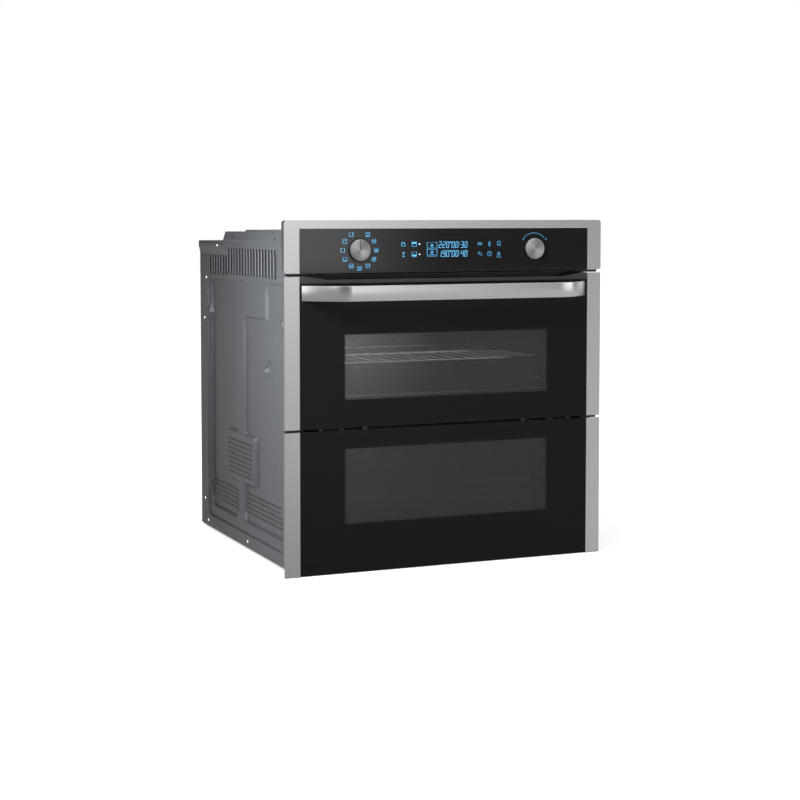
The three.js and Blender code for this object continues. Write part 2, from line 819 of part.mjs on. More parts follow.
function makeInnerGlass(leaf) {
  return block([-innerGlassHalf, innerGlassHalf], [innerGlassFrontY, doorBackY - fitGap], leaf.innerGlass);
}

function makeOuterGlass(bottom, top) {
  const half = glassHalf - fitGap;
  return block([-half, half], [frontY, frontY + glassThickness], [bottom, top]);
}

// A folded steel strip: face, short return at the outer edge, long return beside the glass.
function makeTrim(bottom, top) {
  const skin = 1.5;
  const returnBackY = frontY + 20;
  const profile = outline([
    [glassHalf, frontY],
    [halfFront, frontY],
    [halfFront, frontY + trimEdgeDepth],
    [halfFront - skin, frontY + trimEdgeDepth],
    [halfFront - skin, frontY + skin],
    [glassHalf + skin, frontY + skin],
    [glassHalf + skin, returnBackY],
    [glassHalf, returnBackY],
  ]);
  return alongZ(profile, [bottom, top]);
}

const tongueX = 150;
const tongueSlotX = [tongueX - 8, tongueX + 14];
const tongueSlotY = [frontY + 6, frontY + 22];
const hingeX = 236;

function makeLowerDoorFrame() {
  const armPocket = block([hingeX - 2, hingeX + 12], [frontY + 9, 0], [5, 70]);
  const tongueSlot = block(tongueSlotX, tongueSlotY, through(lowerLeaf.frame[1]));
  const secondSlot = tongueSlot.translate([-2 * tongueX, 0, 0]);
  return cut(makeDoorFrame(lowerLeaf), armPocket, mirrored(armPocket), tongueSlot, secondSlot);
}

addPart('lower_door_glass', makeOuterGlass(frontBottom + 1, lowerDoorTop), 'blackGlass');
addPart('lower_door_frame', makeLowerDoorFrame(), 'blackPaint');
addPart('lower_inner_glass', makeInnerGlass(lowerLeaf), 'innerGlass');
const lowerTrim = makeTrim(frontBottom, lowerDoorTop);
addPart('lower_right_trim', lowerTrim, 'brushedSteel');
addPart('lower_left_trim', mirrored(lowerTrim), 'brushedSteel');

const hingePlate = 3;
const hingePinRadius = 2.5;

function makeHingeArm() {
  const near = hingeX + hingePlate + 1;
  const far = near + hingePlate;
  const half = 6;
  const pivot = [lowerPivot.y, lowerPivot.z];
  const bar = block([near, far], [lowerPivot.y - half, lowerPivot.y + half], [lowerPivot.z, 66]);
  const eye = rod('x', near, far, pivot, half, 16);
  const bore = rod('x', near - overshoot, far + overshoot, pivot, hingePinRadius + shaftClearance, 16);
  return cut(join(bar, eye), bore);
}

function makeHingeReceiver() {
  const bottom = 2.5;
  const noseTop = 11.5;
  const tailTop = 34;
  const tailY = -170;
  const far = hingeX + hingePlate;
  const pivot = [lowerPivot.y, lowerPivot.z];
  const plate = alongX(outline([
    [lowerPivot.y, bottom],
    [tailY, bottom],
    [tailY, tailTop],
    [frameBackY + 1, tailTop],
    [frameBackY + 1, noseTop],
    [lowerPivot.y, noseTop],
  ]), [hingeX, far]);
  const eye = rod('x', hingeX, far, pivot, (noseTop - bottom) / 2, 16);
  const pin = rod('x', hingeX, far + 7, pivot, hingePinRadius, 16);
  return join(plate, eye, pin);
}

const hingeArm = makeHingeArm();
const hingeReceiver = makeHingeReceiver();
addPart('right_hinge_arm', hingeArm, 'galvanised');
addPart('left_hinge_arm', mirrored(hingeArm), 'galvanised');
addPart('right_hinge_receiver', hingeReceiver, 'galvanised');
addPart('left_hinge_receiver', mirrored(hingeReceiver), 'galvanised');

// ---- Split hinge between the two leaves ----
const splitHingeX = 215;
const pinRadius = 1;
const leafThickness = 1;
const leafGap = 0.6;             // from the split's middle to each hinge leaf
const leafBackY = frontY + 12;

function makeSplitHingePin(x) {
  const width = [x - 14, x + 14];
  const leafTop = splitZ - leafGap;
  const pin = rod('x', x - 23, x + 23, [upperPivot.y, upperPivot.z], pinRadius, 8);
  const leaf = block(width, [upperPivot.y, leafBackY], [leafTop - leafThickness, leafTop]);
  const foot = block(width, [leafBackY - 2, leafBackY], [lowerLeaf.frame[1] + fitGap, leafTop]);
  return join(pin, leaf, foot);
}
addPart('right_split_pin', makeSplitHingePin(splitHingeX), 'galvanised');
addPart('left_split_pin', makeSplitHingePin(-splitHingeX), 'galvanised');

const knuckleWidth = 6;

function makeKnuckle(x) {
  const width = [x, x + knuckleWidth];
  const leafBottom = splitZ + leafGap;
  const pivot = [upperPivot.y, upperPivot.z];
  const barrel = rod('x', ...width, pivot, 1.7, 8);
  const leaf = block(width, [upperPivot.y + 1.2, leafBackY], [leafBottom, leafBottom + leafThickness]);
  const post = block(width, [leafBackY - 4, leafBackY], [leafBottom, upperLeaf.frame[0] + 1]);
  const bore = rod('x', x - 2, x + knuckleWidth + 2, pivot, pinRadius + 0.35, 8);
  return cut(join(barrel, leaf, post), bore);
}

function makeUpperDoorFrame() {
  const tongueSlot = block(tongueSlotX, tongueSlotY, through(upperLeaf.frame[0]));
  const secondSlot = tongueSlot.translate([-2 * tongueX, 0, 0]);
  const knuckleOffset = 18.5;
  const knuckles = [];
  for (const centre of [-splitHingeX, splitHingeX]) {
    for (const side of [-1, 1]) {
      knuckles.push(makeKnuckle(centre + side * knuckleOffset - knuckleWidth / 2));
    }
  }
  return join(cut(makeDoorFrame(upperLeaf), tongueSlot, secondSlot), ...knuckles);
}

addPart('upper_door_glass', makeOuterGlass(upperDoorBottom, doorCapBottom - fitGap), 'blackGlass');
addPart('upper_door_frame', makeUpperDoorFrame(), 'blackPaint');
addPart('upper_inner_glass', makeInnerGlass(upperLeaf), 'innerGlass');
const upperTrim = makeTrim(upperDoorBottom, doorTop);
addPart('upper_right_trim', upperTrim, 'brushedSteel');
addPart('upper_left_trim', mirrored(upperTrim), 'brushedSteel');

// The cap dips along its middle, which leaves room for the cooling air.
function makeUpperDoorCap() {
  const half = glassHalf - fitGap;
  const dip = { depth: 6, floorHalf: 222, rimHalf: 262 };
  const floorZ = doorTop - dip.depth;
  return alongY(outline([
    [-half, doorCapBottom],
    [half, doorCapBottom],
    [half, doorTop],
    [dip.rimHalf, doorTop],
    [dip.floorHalf, floorZ],
    [-dip.floorHalf, floorZ],
    [-dip.rimHalf, doorTop],
    [-half, doorTop],
  ]), [frontY, doorBackY - 1]);
}
addPart('upper_door_cap', makeUpperDoorCap(), 'blackPlastic');

// ---- Handle: one flat strap bowed out from the door, with guide pins for the release lever ----
const leverPinX = 22;
const handleInnerY = frontY - handleReach + handleThickness;

function strapOutline() {
  const rootY = frontY - fitGap;
  const bowY = frontY - handleReach;
  const end = new THREE.Vector2(handleEndX, rootY);
  const bend = new THREE.Vector2(handleBendX, bowY);
  const leave = new THREE.Vector2(handleEndX - 8, rootY - 32);
  const arrive = new THREE.Vector2(handleBendX + 34, bowY);
  const curve = new THREE.CubicBezierCurve(end, leave, arrive, bend);
  const steps = 10;
  const outer = [];
  const inner = [];
  for (let i = 0; i <= steps; i += 1) {
    const point = curve.getPoint(i / steps);
    const along = curve.getTangent(i / steps);
    outer.push([point.x, point.y]);
    const innerY = Math.min(point.y - along.x * handleThickness, rootY);
    inner.push([point.x + along.y * handleThickness, innerY]);
  }
  const flip = ([x, y]) => [-x, y];
  return outline([...outer, ...outer.map(flip).reverse(), ...inner.map(flip), ...inner.reverse()]);
}

const handleMiddleZ = (handleBottom + handleTop) / 2;
const leverPinRadius = 2;

function makeHandle() {
  const strap = alongZ(strapOutline(), [handleBottom, handleTop]);
  const pin = rod('y', handleInnerY - 1, handleInnerY + 13, [leverPinX, handleMiddleZ], leverPinRadius, 8);
  return join(strap, pin, mirrored(pin));
}
addPart('door_handle', makeHandle(), 'brushedSteel');

function makeReleaseLever() {
  const half = 36;
  const near = handleInnerY + 3;
  const plate = block([-half, half], [near, near + 3], [handleBottom + 4, handleTop - 4]);
  const hole = rod('y', ...through(near), [leverPinX, handleMiddleZ], leverPinRadius + 0.5, 8);
  return cut(plate, hole, mirrored(hole));
}
addPart('release_lever', makeReleaseLever(), 'blackPlastic');

function makeLatchBar() {
  const depth = [frontY + 10, frontY + 16];
  const barBottom = 251;
  const bar = block([-190, 190], depth, [barBottom, barBottom + 6]);
  const tongue = block([tongueX - 3, tongueX + 3], depth, [229, barBottom + 2]);
  return join(bar, tongue, tongue.translate([-2 * tongueX, 0, 0]));
}
addPart('latch_bar', makeLatchBar(), 'galvanised');

export default oven;
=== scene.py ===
import json
from math import cos, pi, radians, sin

import bmesh
import bpy
from mathutils import Matrix, Vector

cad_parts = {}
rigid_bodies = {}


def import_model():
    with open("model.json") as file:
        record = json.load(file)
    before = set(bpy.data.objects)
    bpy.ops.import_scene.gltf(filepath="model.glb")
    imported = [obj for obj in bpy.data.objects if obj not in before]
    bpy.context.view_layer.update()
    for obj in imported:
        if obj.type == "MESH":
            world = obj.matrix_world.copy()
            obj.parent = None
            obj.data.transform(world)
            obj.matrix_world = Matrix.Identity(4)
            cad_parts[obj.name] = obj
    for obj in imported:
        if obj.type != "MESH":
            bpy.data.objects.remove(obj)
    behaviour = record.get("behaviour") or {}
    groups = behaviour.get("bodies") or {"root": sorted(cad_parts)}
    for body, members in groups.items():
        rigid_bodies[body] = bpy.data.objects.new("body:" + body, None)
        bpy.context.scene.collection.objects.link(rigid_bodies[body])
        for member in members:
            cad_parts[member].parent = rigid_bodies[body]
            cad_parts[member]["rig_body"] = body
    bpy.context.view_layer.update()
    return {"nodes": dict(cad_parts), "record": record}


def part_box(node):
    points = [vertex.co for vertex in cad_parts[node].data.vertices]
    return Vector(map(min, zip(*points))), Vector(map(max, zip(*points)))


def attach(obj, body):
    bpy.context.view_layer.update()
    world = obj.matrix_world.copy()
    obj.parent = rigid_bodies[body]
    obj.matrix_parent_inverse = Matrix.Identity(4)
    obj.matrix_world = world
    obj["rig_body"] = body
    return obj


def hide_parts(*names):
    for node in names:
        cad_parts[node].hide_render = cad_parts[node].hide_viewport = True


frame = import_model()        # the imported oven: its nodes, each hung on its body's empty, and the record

nodes = frame["nodes"]
mm = 0.001
scene = bpy.context.scene
print("frame loaded:", len(nodes), "nodes")

# places that many pieces share, taken from the frame
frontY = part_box("lower_door_glass")[0].y
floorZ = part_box("lower_right_trim")[0].z
glassLow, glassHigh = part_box("control_glass")
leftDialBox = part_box("left_dial")
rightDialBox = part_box("right_dial")
dialZ = (leftDialBox[0].z + leftDialBox[1].z) / 2
dialX = (rightDialBox[0].x + rightDialBox[1].x) / 2
slotOf = {part["node"]: part["material_slot"] for part in frame["record"]["subparts"]}
bodyOf = {name: thing["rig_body"] for name, thing in nodes.items()}


def newGroup(name, insides, outsides):
    group = bpy.data.node_groups.new(name, "ShaderNodeTree")
    for label, kind, value in insides:
        socket = group.interface.new_socket(name=label, in_out="INPUT", socket_type=kind)
        if value is not None:
            socket.default_value = value
    for label, kind in outsides:
        group.interface.new_socket(name=label, in_out="OUTPUT", socket_type=kind)
    start = group.nodes.new("NodeGroupInput")
    end = group.nodes.new("NodeGroupOutput")
    return group, start, end


# sets a socket to a plain value or links it to another node's output
def feed(tree, socket, value):
    if isinstance(value, (int, float, tuple)):
        socket.default_value = value
    else:
        tree.links.new(value, socket)


def mathNode(tree, operation, first, second=0.0):
    node = tree.nodes.new("ShaderNodeMath")
    node.operation = operation
    feed(tree, node.inputs[0], first)
    feed(tree, node.inputs[1], second)
    return node.outputs[0]


def mixColor(tree, factor, first, second):
    node = tree.nodes.new("ShaderNodeMix")
    node.data_type = "RGBA"
    for index, value in ((0, factor), (6, first), (7, second)):     # the colour sockets of a Mix node
        feed(tree, node.inputs[index], value)
    return node.outputs[2]


def mixValue(tree, factor, first, second):
    node = tree.nodes.new("ShaderNodeMix")
    for label, value in (("Factor", factor), ("A", first), ("B", second)):
        feed(tree, node.inputs[label], value)
    return node.outputs["Result"]


def noiseNode(tree, vector, scale, detail=3.0):
    node = tree.nodes.new("ShaderNodeTexNoise")
    node.inputs["Detail"].default_value = detail
    feed(tree, node.inputs["Scale"], scale)
    tree.links.new(vector, node.inputs["Vector"])
    return node.outputs["Fac"]


# value * slope + base
def lineNode(tree, value, slope, base):
    return mathNode(tree, "ADD", mathNode(tree, "MULTIPLY", value, slope), base)


def splitNode(tree, vector):
    node = tree.nodes.new("ShaderNodeSeparateXYZ")
    tree.links.new(vector, node.inputs[0])
    return node.outputs


def scaleColor(tree, color, level):
    node = tree.nodes.new("ShaderNodeVectorMath")
    node.operation = "SCALE"
    tree.links.new(color, node.inputs[0])
    tree.links.new(level, node.inputs["Scale"])
    return node.outputs[0]


def lengthNode(tree, vector):
    node = tree.nodes.new("ShaderNodeVectorMath")
    node.operation = "LENGTH"
    tree.links.new(vector, node.inputs[0])
    return node.outputs["Value"]


stageLook = {
    "floorTint": (0.84, 0.84, 0.84, 1), "floorHalf": 14, "floorDrop": 0.3 * mm,
    "floorGlow": 0.55, "farGlow": 0.9, "glowFrom": 0.5, "glowTo": 1.6,
    "floorShineLeft": 0.40, "floorShineRight": 0.62, "shineFromX": -0.3, "shineToX": 0.5,
    "skyForEye": 1.0, "skyForLight": 0.40, "roofShine": 0.7, "roofFrom": 0.35, "roofTo": 0.75,
}
# what polished faces see round the studio: degrees from straight ahead, and brightness
studioShine = (
    (-180, 0.14), (-130, 0.12), (-116, 2.4), (-80, 2.4), (-70, 0.40), (-30, 0.40), (-16, 0.22), (12, 0.20),
    (16, 2.3), (21.0, 2.3), (22.7, 0.9), (24.2, 0.12), (33, 0.14), (38, 0.9), (60, 1.0), (80, 1.3),
    (90, 0.4), (125, 0.4), (180, 0.14),
)


def ramp(tree, value, fromLow, fromHigh, toLow=0.0, toHigh=1.0):
    node = tree.nodes.new("ShaderNodeMapRange")
    node.interpolation_type = "SMOOTHSTEP"
    settings = {"From Min": fromLow, "From Max": fromHigh, "To Min": toLow, "To Max": toHigh}
    for label, setting in settings.items():
        node.inputs[label].default_value = setting
    tree.links.new(value, node.inputs["Value"])
    return node.outputs["Result"]


# the floor glows whiter further off, and polished faces see it duller towards the left
def buildStage():
    bm = bmesh.new()
    bmesh.ops.create_grid(bm, x_segments=1, y_segments=1, size=stageLook["floorHalf"])
    bmesh.ops.translate(bm, verts=bm.verts, vec=(0, 0, floorZ - stageLook["floorDrop"]))
    mesh = bpy.data.meshes.new("floor")
    bm.to_mesh(mesh)
    bm.free()
    floor = bpy.data.objects.new("floor", mesh)
    scene.collection.objects.link(floor)
    look = bpy.data.materials.new("floorPaint")
    look.use_nodes = True
    tree = look.node_tree
    shader = tree.nodes["Principled BSDF"]
    shader.inputs["Base Color"].default_value = stageLook["floorTint"]
    shader.inputs["Roughness"].default_value = 0.9
    shader.inputs["Specular IOR Level"].default_value = 0.1
    shader.inputs["Emission Color"].default_value = (1, 1, 1, 1)
    where = tree.nodes.new("ShaderNodeTexCoord").outputs["Object"]
    glow = ramp(tree, lengthNode(tree, where), stageLook["glowFrom"], stageLook["glowTo"],
                stageLook["floorGlow"], stageLook["farGlow"])
    tree.links.new(glow, shader.inputs["Emission Strength"])
    shine = tree.nodes.new("ShaderNodeEmission")
    level = ramp(tree, splitNode(tree, where)["X"], stageLook["shineFromX"], stageLook["shineToX"],
                 stageLook["floorShineLeft"], stageLook["floorShineRight"])
    tree.links.new(level, shine.inputs["Strength"])
    path = tree.nodes.new("ShaderNodeLightPath")
    mix = tree.nodes.new("ShaderNodeMixShader")
    tree.links.new(path.outputs["Is Glossy Ray"], mix.inputs[0])
    tree.links.new(shader.outputs[0], mix.inputs[1])
    tree.links.new(shine.outputs[0], mix.inputs[2])
    tree.links.new(mix.outputs[0], tree.nodes["Material Output"].inputs["Surface"])
    mesh.materials.append(look)


# white to the eye; polished faces see the tall soft panels of studioShine and a pale roof
def buildWorld():
    world = bpy.data.worlds.new("studio")
    scene.world = world
    world.use_nodes = True
    tree = world.node_tree
    back = tree.nodes["Background"]
    back.inputs["Color"].default_value = (1, 1, 1, 1)
    view = splitNode(tree, tree.nodes.new("ShaderNodeTexCoord").outputs["Generated"])
    turn = mathNode(tree, "ARCTAN2", view["X"], mathNode(tree, "MULTIPLY", view["Y"], -1.0))
    around = mathNode(tree, "ADD", mathNode(tree, "DIVIDE", turn, 2 * pi), 0.5)     # 0.5 is straight ahead
    dial = tree.nodes.new("ShaderNodeValToRGB")
    stops = dial.color_ramp.elements
    brightest = max(shine for _, shine in studioShine)
    while len(stops) < len(studioShine):
        stops.new(0.5)
    for stop, (degrees, shine) in zip(stops, studioShine):
        stop.position = degrees / 360 + 0.5
        stop.color = [shine / brightest] * 3 + [1]
    tree.links.new(around, dial.inputs["Fac"])
    shine = mathNode(tree, "MULTIPLY", dial.outputs["Color"], brightest)
    roof = ramp(tree, view["Z"], stageLook["roofFrom"], stageLook["roofTo"])
    mirrored = mixValue(tree, roof, shine, stageLook["roofShine"])
    path = tree.nodes.new("ShaderNodeLightPath")
    light = mixValue(tree, path.outputs["Is Glossy Ray"], stageLook["skyForLight"], mirrored)
    seen = mixValue(tree, path.outputs["Is Camera Ray"], light, stageLook["skyForEye"])
    tree.links.new(seen, back.inputs["Strength"])


lightAim = Vector((0, 0, 0.3))
softLights = {
    "keyLeft": {"at": (-2.6, -2.6, 2.2), "size": 2.2, "watts": 16},
    "topWash": {"at": (0.2, -0.4, 3.0), "size": 2.6, "watts": 26},
    "fillRight": {"at": (3.0, -1.6, 1.2), "size": 1.8, "watts": 5},
    "sideGlow": {"at": (-0.80, -0.70, 0.95), "size": 0.4, "watts": 30, "shines": False},
}


def newLight(name, kind, watts, at):
    lamp = bpy.data.lights.new(name, kind)
    lamp.energy = watts
    holder = bpy.data.objects.new(name, lamp)
    holder.location = at
    scene.collection.objects.link(holder)
    return lamp, holder


def buildLights():
    for name, what in softLights.items():
        lamp, holder = newLight(name, "AREA", what["watts"], what["at"])
        lamp.size = what["size"]
        holder.visible_camera = False
        holder.visible_glossy = what.get("shines", True)
        aim = lightAim - holder.location
        holder.rotation_euler = aim.to_track_quat("-Z", "Y").to_euler()


cavityLamp = {"in": 14 * mm, "watts": 0.12, "radius": 0.02, "tint": (1.0, 0.95, 0.88)}
cavityGlow = {"size": 0.34, "down": 12 * mm, "watts": 0.7}


# the oven's own lamp, and a wide weak glow under the roof that stands for light bounced by the enamel
def buildCavityLights():
    low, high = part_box("lamp_lens")
    middle = (low + high) / 2
    at = (high.x + cavityLamp["in"] + cavityLamp["radius"], middle.y, middle.z)
    lamp, holder = newLight("cavityLamp", "POINT", cavityLamp["watts"], at)
    lamp.shadow_soft_size = cavityLamp["radius"]
    lamp.color = cavityLamp["tint"]
    low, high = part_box("grill_element")
    at = ((low.x + high.x) / 2, (low.y + high.y) / 2, low.z - cavityGlow["down"])
    glow, holder = newLight("cavityGlow", "AREA", cavityGlow["watts"], at)
    glow.size = cavityGlow["size"]
    holder.visible_camera = False


cameraSet = {"at": (-1.23117, -2.95138, 0.6), "yaw": 23.126, "pitch": 3.53, "lens": 77.363, "shift": -0.1}


def buildCamera():
    cam = bpy.data.cameras.new("camera")
    cam.lens = cameraSet["lens"]
    cam.shift_y = cameraSet["shift"]
    eye = bpy.data.objects.new("camera", cam)
    eye.location = cameraSet["at"]
    eye.rotation_euler = (radians(90 - cameraSet["pitch"]), 0, radians(-cameraSet["yaw"]))
    scene.collection.objects.link(eye)
    scene.camera = eye


scene.view_settings.view_transform = "Standard"
buildStage()
buildWorld()
buildLights()
buildCavityLights()
buildCamera()
print("stage, lights and camera set")


grainShare = {"tone": 1.6, "rough": 1.2}      # how much of the grain's depth shows in tone and in gloss


# long fine scratches: the vector comes in already stretched along the brushing
def makeBrushGrain():
    group, start, end = newGroup(
        "brushGrain",
        [("Vector", "NodeSocketVector", None), ("Tint", "NodeSocketColor", (0.6, 0.6, 0.6, 1)),
         ("Depth", "NodeSocketFloat", 0.1), ("Rough", "NodeSocketFloat", 0.3)],
        [("Color", "NodeSocketColor"), ("Roughness", "NodeSocketFloat"), ("Height", "NodeSocketFloat")])
    fine = noiseNode(group, start.outputs["Vector"], 1.0, 4.0)
    centred = mathNode(group, "SUBTRACT", fine, 0.5)
    swing = mathNode(group, "MULTIPLY", centred, start.outputs["Depth"])
    toned = scaleColor(group, start.outputs["Tint"], lineNode(group, swing, grainShare["tone"], 1.0))
    rough = lineNode(group, swing, grainShare["rough"], start.outputs["Rough"])
    group.links.new(toned, end.inputs["Color"])
    group.links.new(rough, end.inputs["Roughness"])
    group.links.new(fine, end.inputs["Height"])
    return group


# slow cloudy change of tone, as on sheet metal and paint
def makeCloudTone():
    group, start, end = newGroup(
        "cloudTone",
        [("Vector", "NodeSocketVector", None), ("Scale", "NodeSocketFloat", 8.0),
         ("Tint", "NodeSocketColor", (0.5, 0.5, 0.5, 1)), ("Amount", "NodeSocketFloat", 0.1),
         ("Rough", "NodeSocketFloat", 0.5)],
        [("Color", "NodeSocketColor"), ("Roughness", "NodeSocketFloat")])
    cloud = noiseNode(group, start.outputs["Vector"], start.outputs["Scale"], 5.0)
    centred = mathNode(group, "SUBTRACT", cloud, 0.5)
    swing = mathNode(group, "MULTIPLY", centred, start.outputs["Amount"])
    toned = scaleColor(group, start.outputs["Tint"], lineNode(group, swing, 2.0, 1.0))
    group.links.new(toned, end.inputs["Color"])
    group.links.new(mathNode(group, "ADD", swing, start.outputs["Rough"]), end.inputs["Roughness"])
    return group


brushGrain = makeBrushGrain()
cloudTone = makeCloudTone()


def newLook(name, tint, rough, metal, **extra):
    look = bpy.data.materials.new(name)
    look.use_nodes = True
    tree = look.node_tree
    shader = tree.nodes["Principled BSDF"]
    shader.inputs["Base Color"].default_value = (*tint, 1)
    shader.inputs["Roughness"].default_value = rough
    shader.inputs["Metallic"].default_value = metal
    for label, value in extra.items():
        shader.inputs[label.replace("_", " ")].default_value = value
    where = tree.nodes.new("ShaderNodeTexCoord").outputs["Object"]
    return look, tree, shader, where


def stretched(tree, where, scale):
    mapping = tree.nodes.new("ShaderNodeMapping")
    mapping.inputs["Scale"].default_value = scale
    tree.links.new(where, mapping.inputs["Vector"])
    return mapping.outputs["Vector"]


def feedShader(tree, shader, color, rough):
    tree.links.new(color, shader.inputs["Base Color"])
    tree.links.new(rough, shader.inputs["Roughness"])


def bumpInto(tree, shader, height, strength, distance):
    bump = tree.nodes.new("ShaderNodeBump")
    bump.inputs["Strength"].default_value = strength
    bump.inputs["Distance"].default_value = distance
    tree.links.new(height, bump.inputs["Height"])
    tree.links.new(bump.outputs["Normal"], shader.inputs["Normal"])


def placeGroup(tree, group, vector, **values):
    node = tree.nodes.new("ShaderNodeGroup")
    node.node_tree = group
    tree.links.new(vector, node.inputs["Vector"])
    for label, value in values.items():
        node.inputs[label].default_value = value
    return node


steelLook = {"tint": (0.60, 0.605, 0.61, 1), "rough": 0.25, "depth": 0.07, "across": 3200, "along": 14}


def brushedSteel(name, direction):
    look, tree, shader, where = newLook(name, steelLook["tint"][:3], steelLook["rough"], 1.0)
    scale = [steelLook["across"]] * 3
    scale["xyz".index(direction)] = steelLook["along"]
    grain = placeGroup(tree, brushGrain, stretched(tree, where, scale), Tint=steelLook["tint"],
                       Depth=steelLook["depth"], Rough=steelLook["rough"])
    feedShader(tree, shader, grain.outputs["Color"], grain.outputs["Roughness"])
    bumpInto(tree, shader, grain.outputs["Height"], 0.03, 0.0002)
    return look


# the sheet's tint and gloss, and the painted light levels that brighten the front and top and shade the back
# and foot
zincLook = {"tint": (0.150, 0.160, 0.176, 1), "rough": 0.30, "metal": 0.8, "amount": 0.10,
            "spangle": 90, "spangleShare": 0.10, "pale": (0.27, 0.285, 0.31, 1),
            "frontY": -0.25, "litFrontLevel": 1.22, "rearY": 0.27, "shadedRearLevel": 0.42,
            "shadedFootLevel": 0.78, "topZ": 0.58, "litTopLevel": 1.28}


def zincSheet():
    look, tree, shader, where = newLook("zincSheet", zincLook["tint"][:3], zincLook["rough"],
                                        zincLook["metal"])
    cloud = placeGroup(tree, cloudTone, where, Scale=14.0, Tint=zincLook["tint"],
                       Amount=zincLook["amount"], Rough=zincLook["rough"])
    cells = tree.nodes.new("ShaderNodeTexVoronoi")
    cells.inputs["Scale"].default_value = zincLook["spangle"]
    tree.links.new(where, cells.inputs["Vector"])
    soft = mathNode(tree, "MULTIPLY", cells.outputs["Color"], zincLook["spangleShare"])
    mixed = mixColor(tree, soft, cloud.outputs["Color"], zincLook["pale"])
    # painted shade and light: darker towards the back and the foot, brighter towards the front and the top
    place = splitNode(tree, where)
    level = ramp(tree, place["Y"], zincLook["frontY"], zincLook["rearY"],
                 zincLook["litFrontLevel"], zincLook["shadedRearLevel"])
    litByHeight = ramp(tree, place["Z"], 0.0, zincLook["topZ"], zincLook["shadedFootLevel"], zincLook["litTopLevel"])
    toned = scaleColor(tree, mixed, mathNode(tree, "MULTIPLY", level, litByHeight))
    feedShader(tree, shader, toned, cloud.outputs["Roughness"])
    bumpInto(tree, shader, noiseNode(tree, where, 700.0), 0.05, 0.0002)
    return look


# a plain colour with soft clouds of tone and a fine grain
def cloudedLook(name, tint, rough, metal=0.0, level=0.5, clouds=30.0, amount=0.12, grain=900.0, depth=0.06):
    look, tree, shader, where = newLook(name, tint, rough, metal, Specular_IOR_Level=level)
    cloud = placeGroup(tree, cloudTone, where, Scale=clouds, Tint=(*tint, 1), Amount=amount, Rough=rough)
    feedShader(tree, shader, cloud.outputs["Color"], cloud.outputs["Roughness"])
    bumpInto(tree, shader, noiseNode(tree, where, grain), depth, 0.0003)
    return look


bareMetal = {"metal": 1.0, "clouds": 60.0, "amount": 0.16, "grain": 300.0, "depth": 0.05}


enamelLook = {"tint": (0.075, 0.078, 0.088, 1), "rough": 0.22, "fleck": (0.3, 0.31, 0.34, 1),
              "fleckScale": 420.0, "fleckSize": 0.22, "fleckShare": 0.6}


def speckledEnamel():
    look, tree, shader, where = newLook("speckledEnamel", enamelLook["tint"][:3], enamelLook["rough"], 0.0)
    dots = tree.nodes.new("ShaderNodeTexVoronoi")
    dots.inputs["Scale"].default_value = enamelLook["fleckScale"]
    tree.links.new(where, dots.inputs["Vector"])
    near = mathNode(tree, "LESS_THAN", dots.outputs["Distance"], enamelLook["fleckSize"])
    cloud = placeGroup(tree, cloudTone, where, Scale=20.0, Tint=enamelLook["tint"],
                       Amount=0.15, Rough=enamelLook["rough"])
    flecks = mathNode(tree, "MULTIPLY", near, enamelLook["fleckShare"])
    mixed = mixColor(tree, flecks, cloud.outputs["Color"], enamelLook["fleck"])
    feedShader(tree, shader, mixed, cloud.outputs["Roughness"])
    bumpInto(tree, shader, noiseNode(tree, where, 60.0), 0.05, 0.001)
    return look


def fibreLook():
    look, tree, shader, where = newLook("glassWool", (0.66, 0.6, 0.36), 0.95, 0.0)
    fibres = noiseNode(tree, stretched(tree, where, (160, 900, 900)), 1.0, 6.0)
    toned = mixColor(tree, fibres, (0.5, 0.44, 0.22, 1), (0.8, 0.75, 0.5, 1))
    tree.links.new(toned, shader.inputs["Base Color"])
    bumpInto(tree, shader, fibres, 0.6, 0.002)
    return look


# 1 between low and high, 0 outside, with soft borders
def edgeMask(tree, value, low, high, soft):
    sides = []
    for outer, inner in ((low - soft, low + soft), (high + soft, high - soft)):
        side = tree.nodes.new("ShaderNodeMapRange")
        side.interpolation_type = "SMOOTHSTEP"
        side.inputs["From Min"].default_value = outer
        side.inputs["From Max"].default_value = inner
        tree.links.new(value, side.inputs["Value"])
        sides.append(side.outputs[0])
    return mathNode(tree, "MULTIPLY", *sides)


# the door glass's print and window tints, and the tint and fall-off of the painted reflection in the window
doorGlassLook = {"tint": (0.0030, 0.0030, 0.0033, 1), "window": (0.020, 0.021, 0.022, 1), "rough": 0.04,
                 "level": 0.14, "clear": 0.5, "soft": 0.0016, "shine": 0.42,
                 "paintedSheenTint": (0.062, 0.064, 0.067, 1), "sheenFootShare": 0.45}
smearShine = {"depth": 0.03, "base": 0.025}


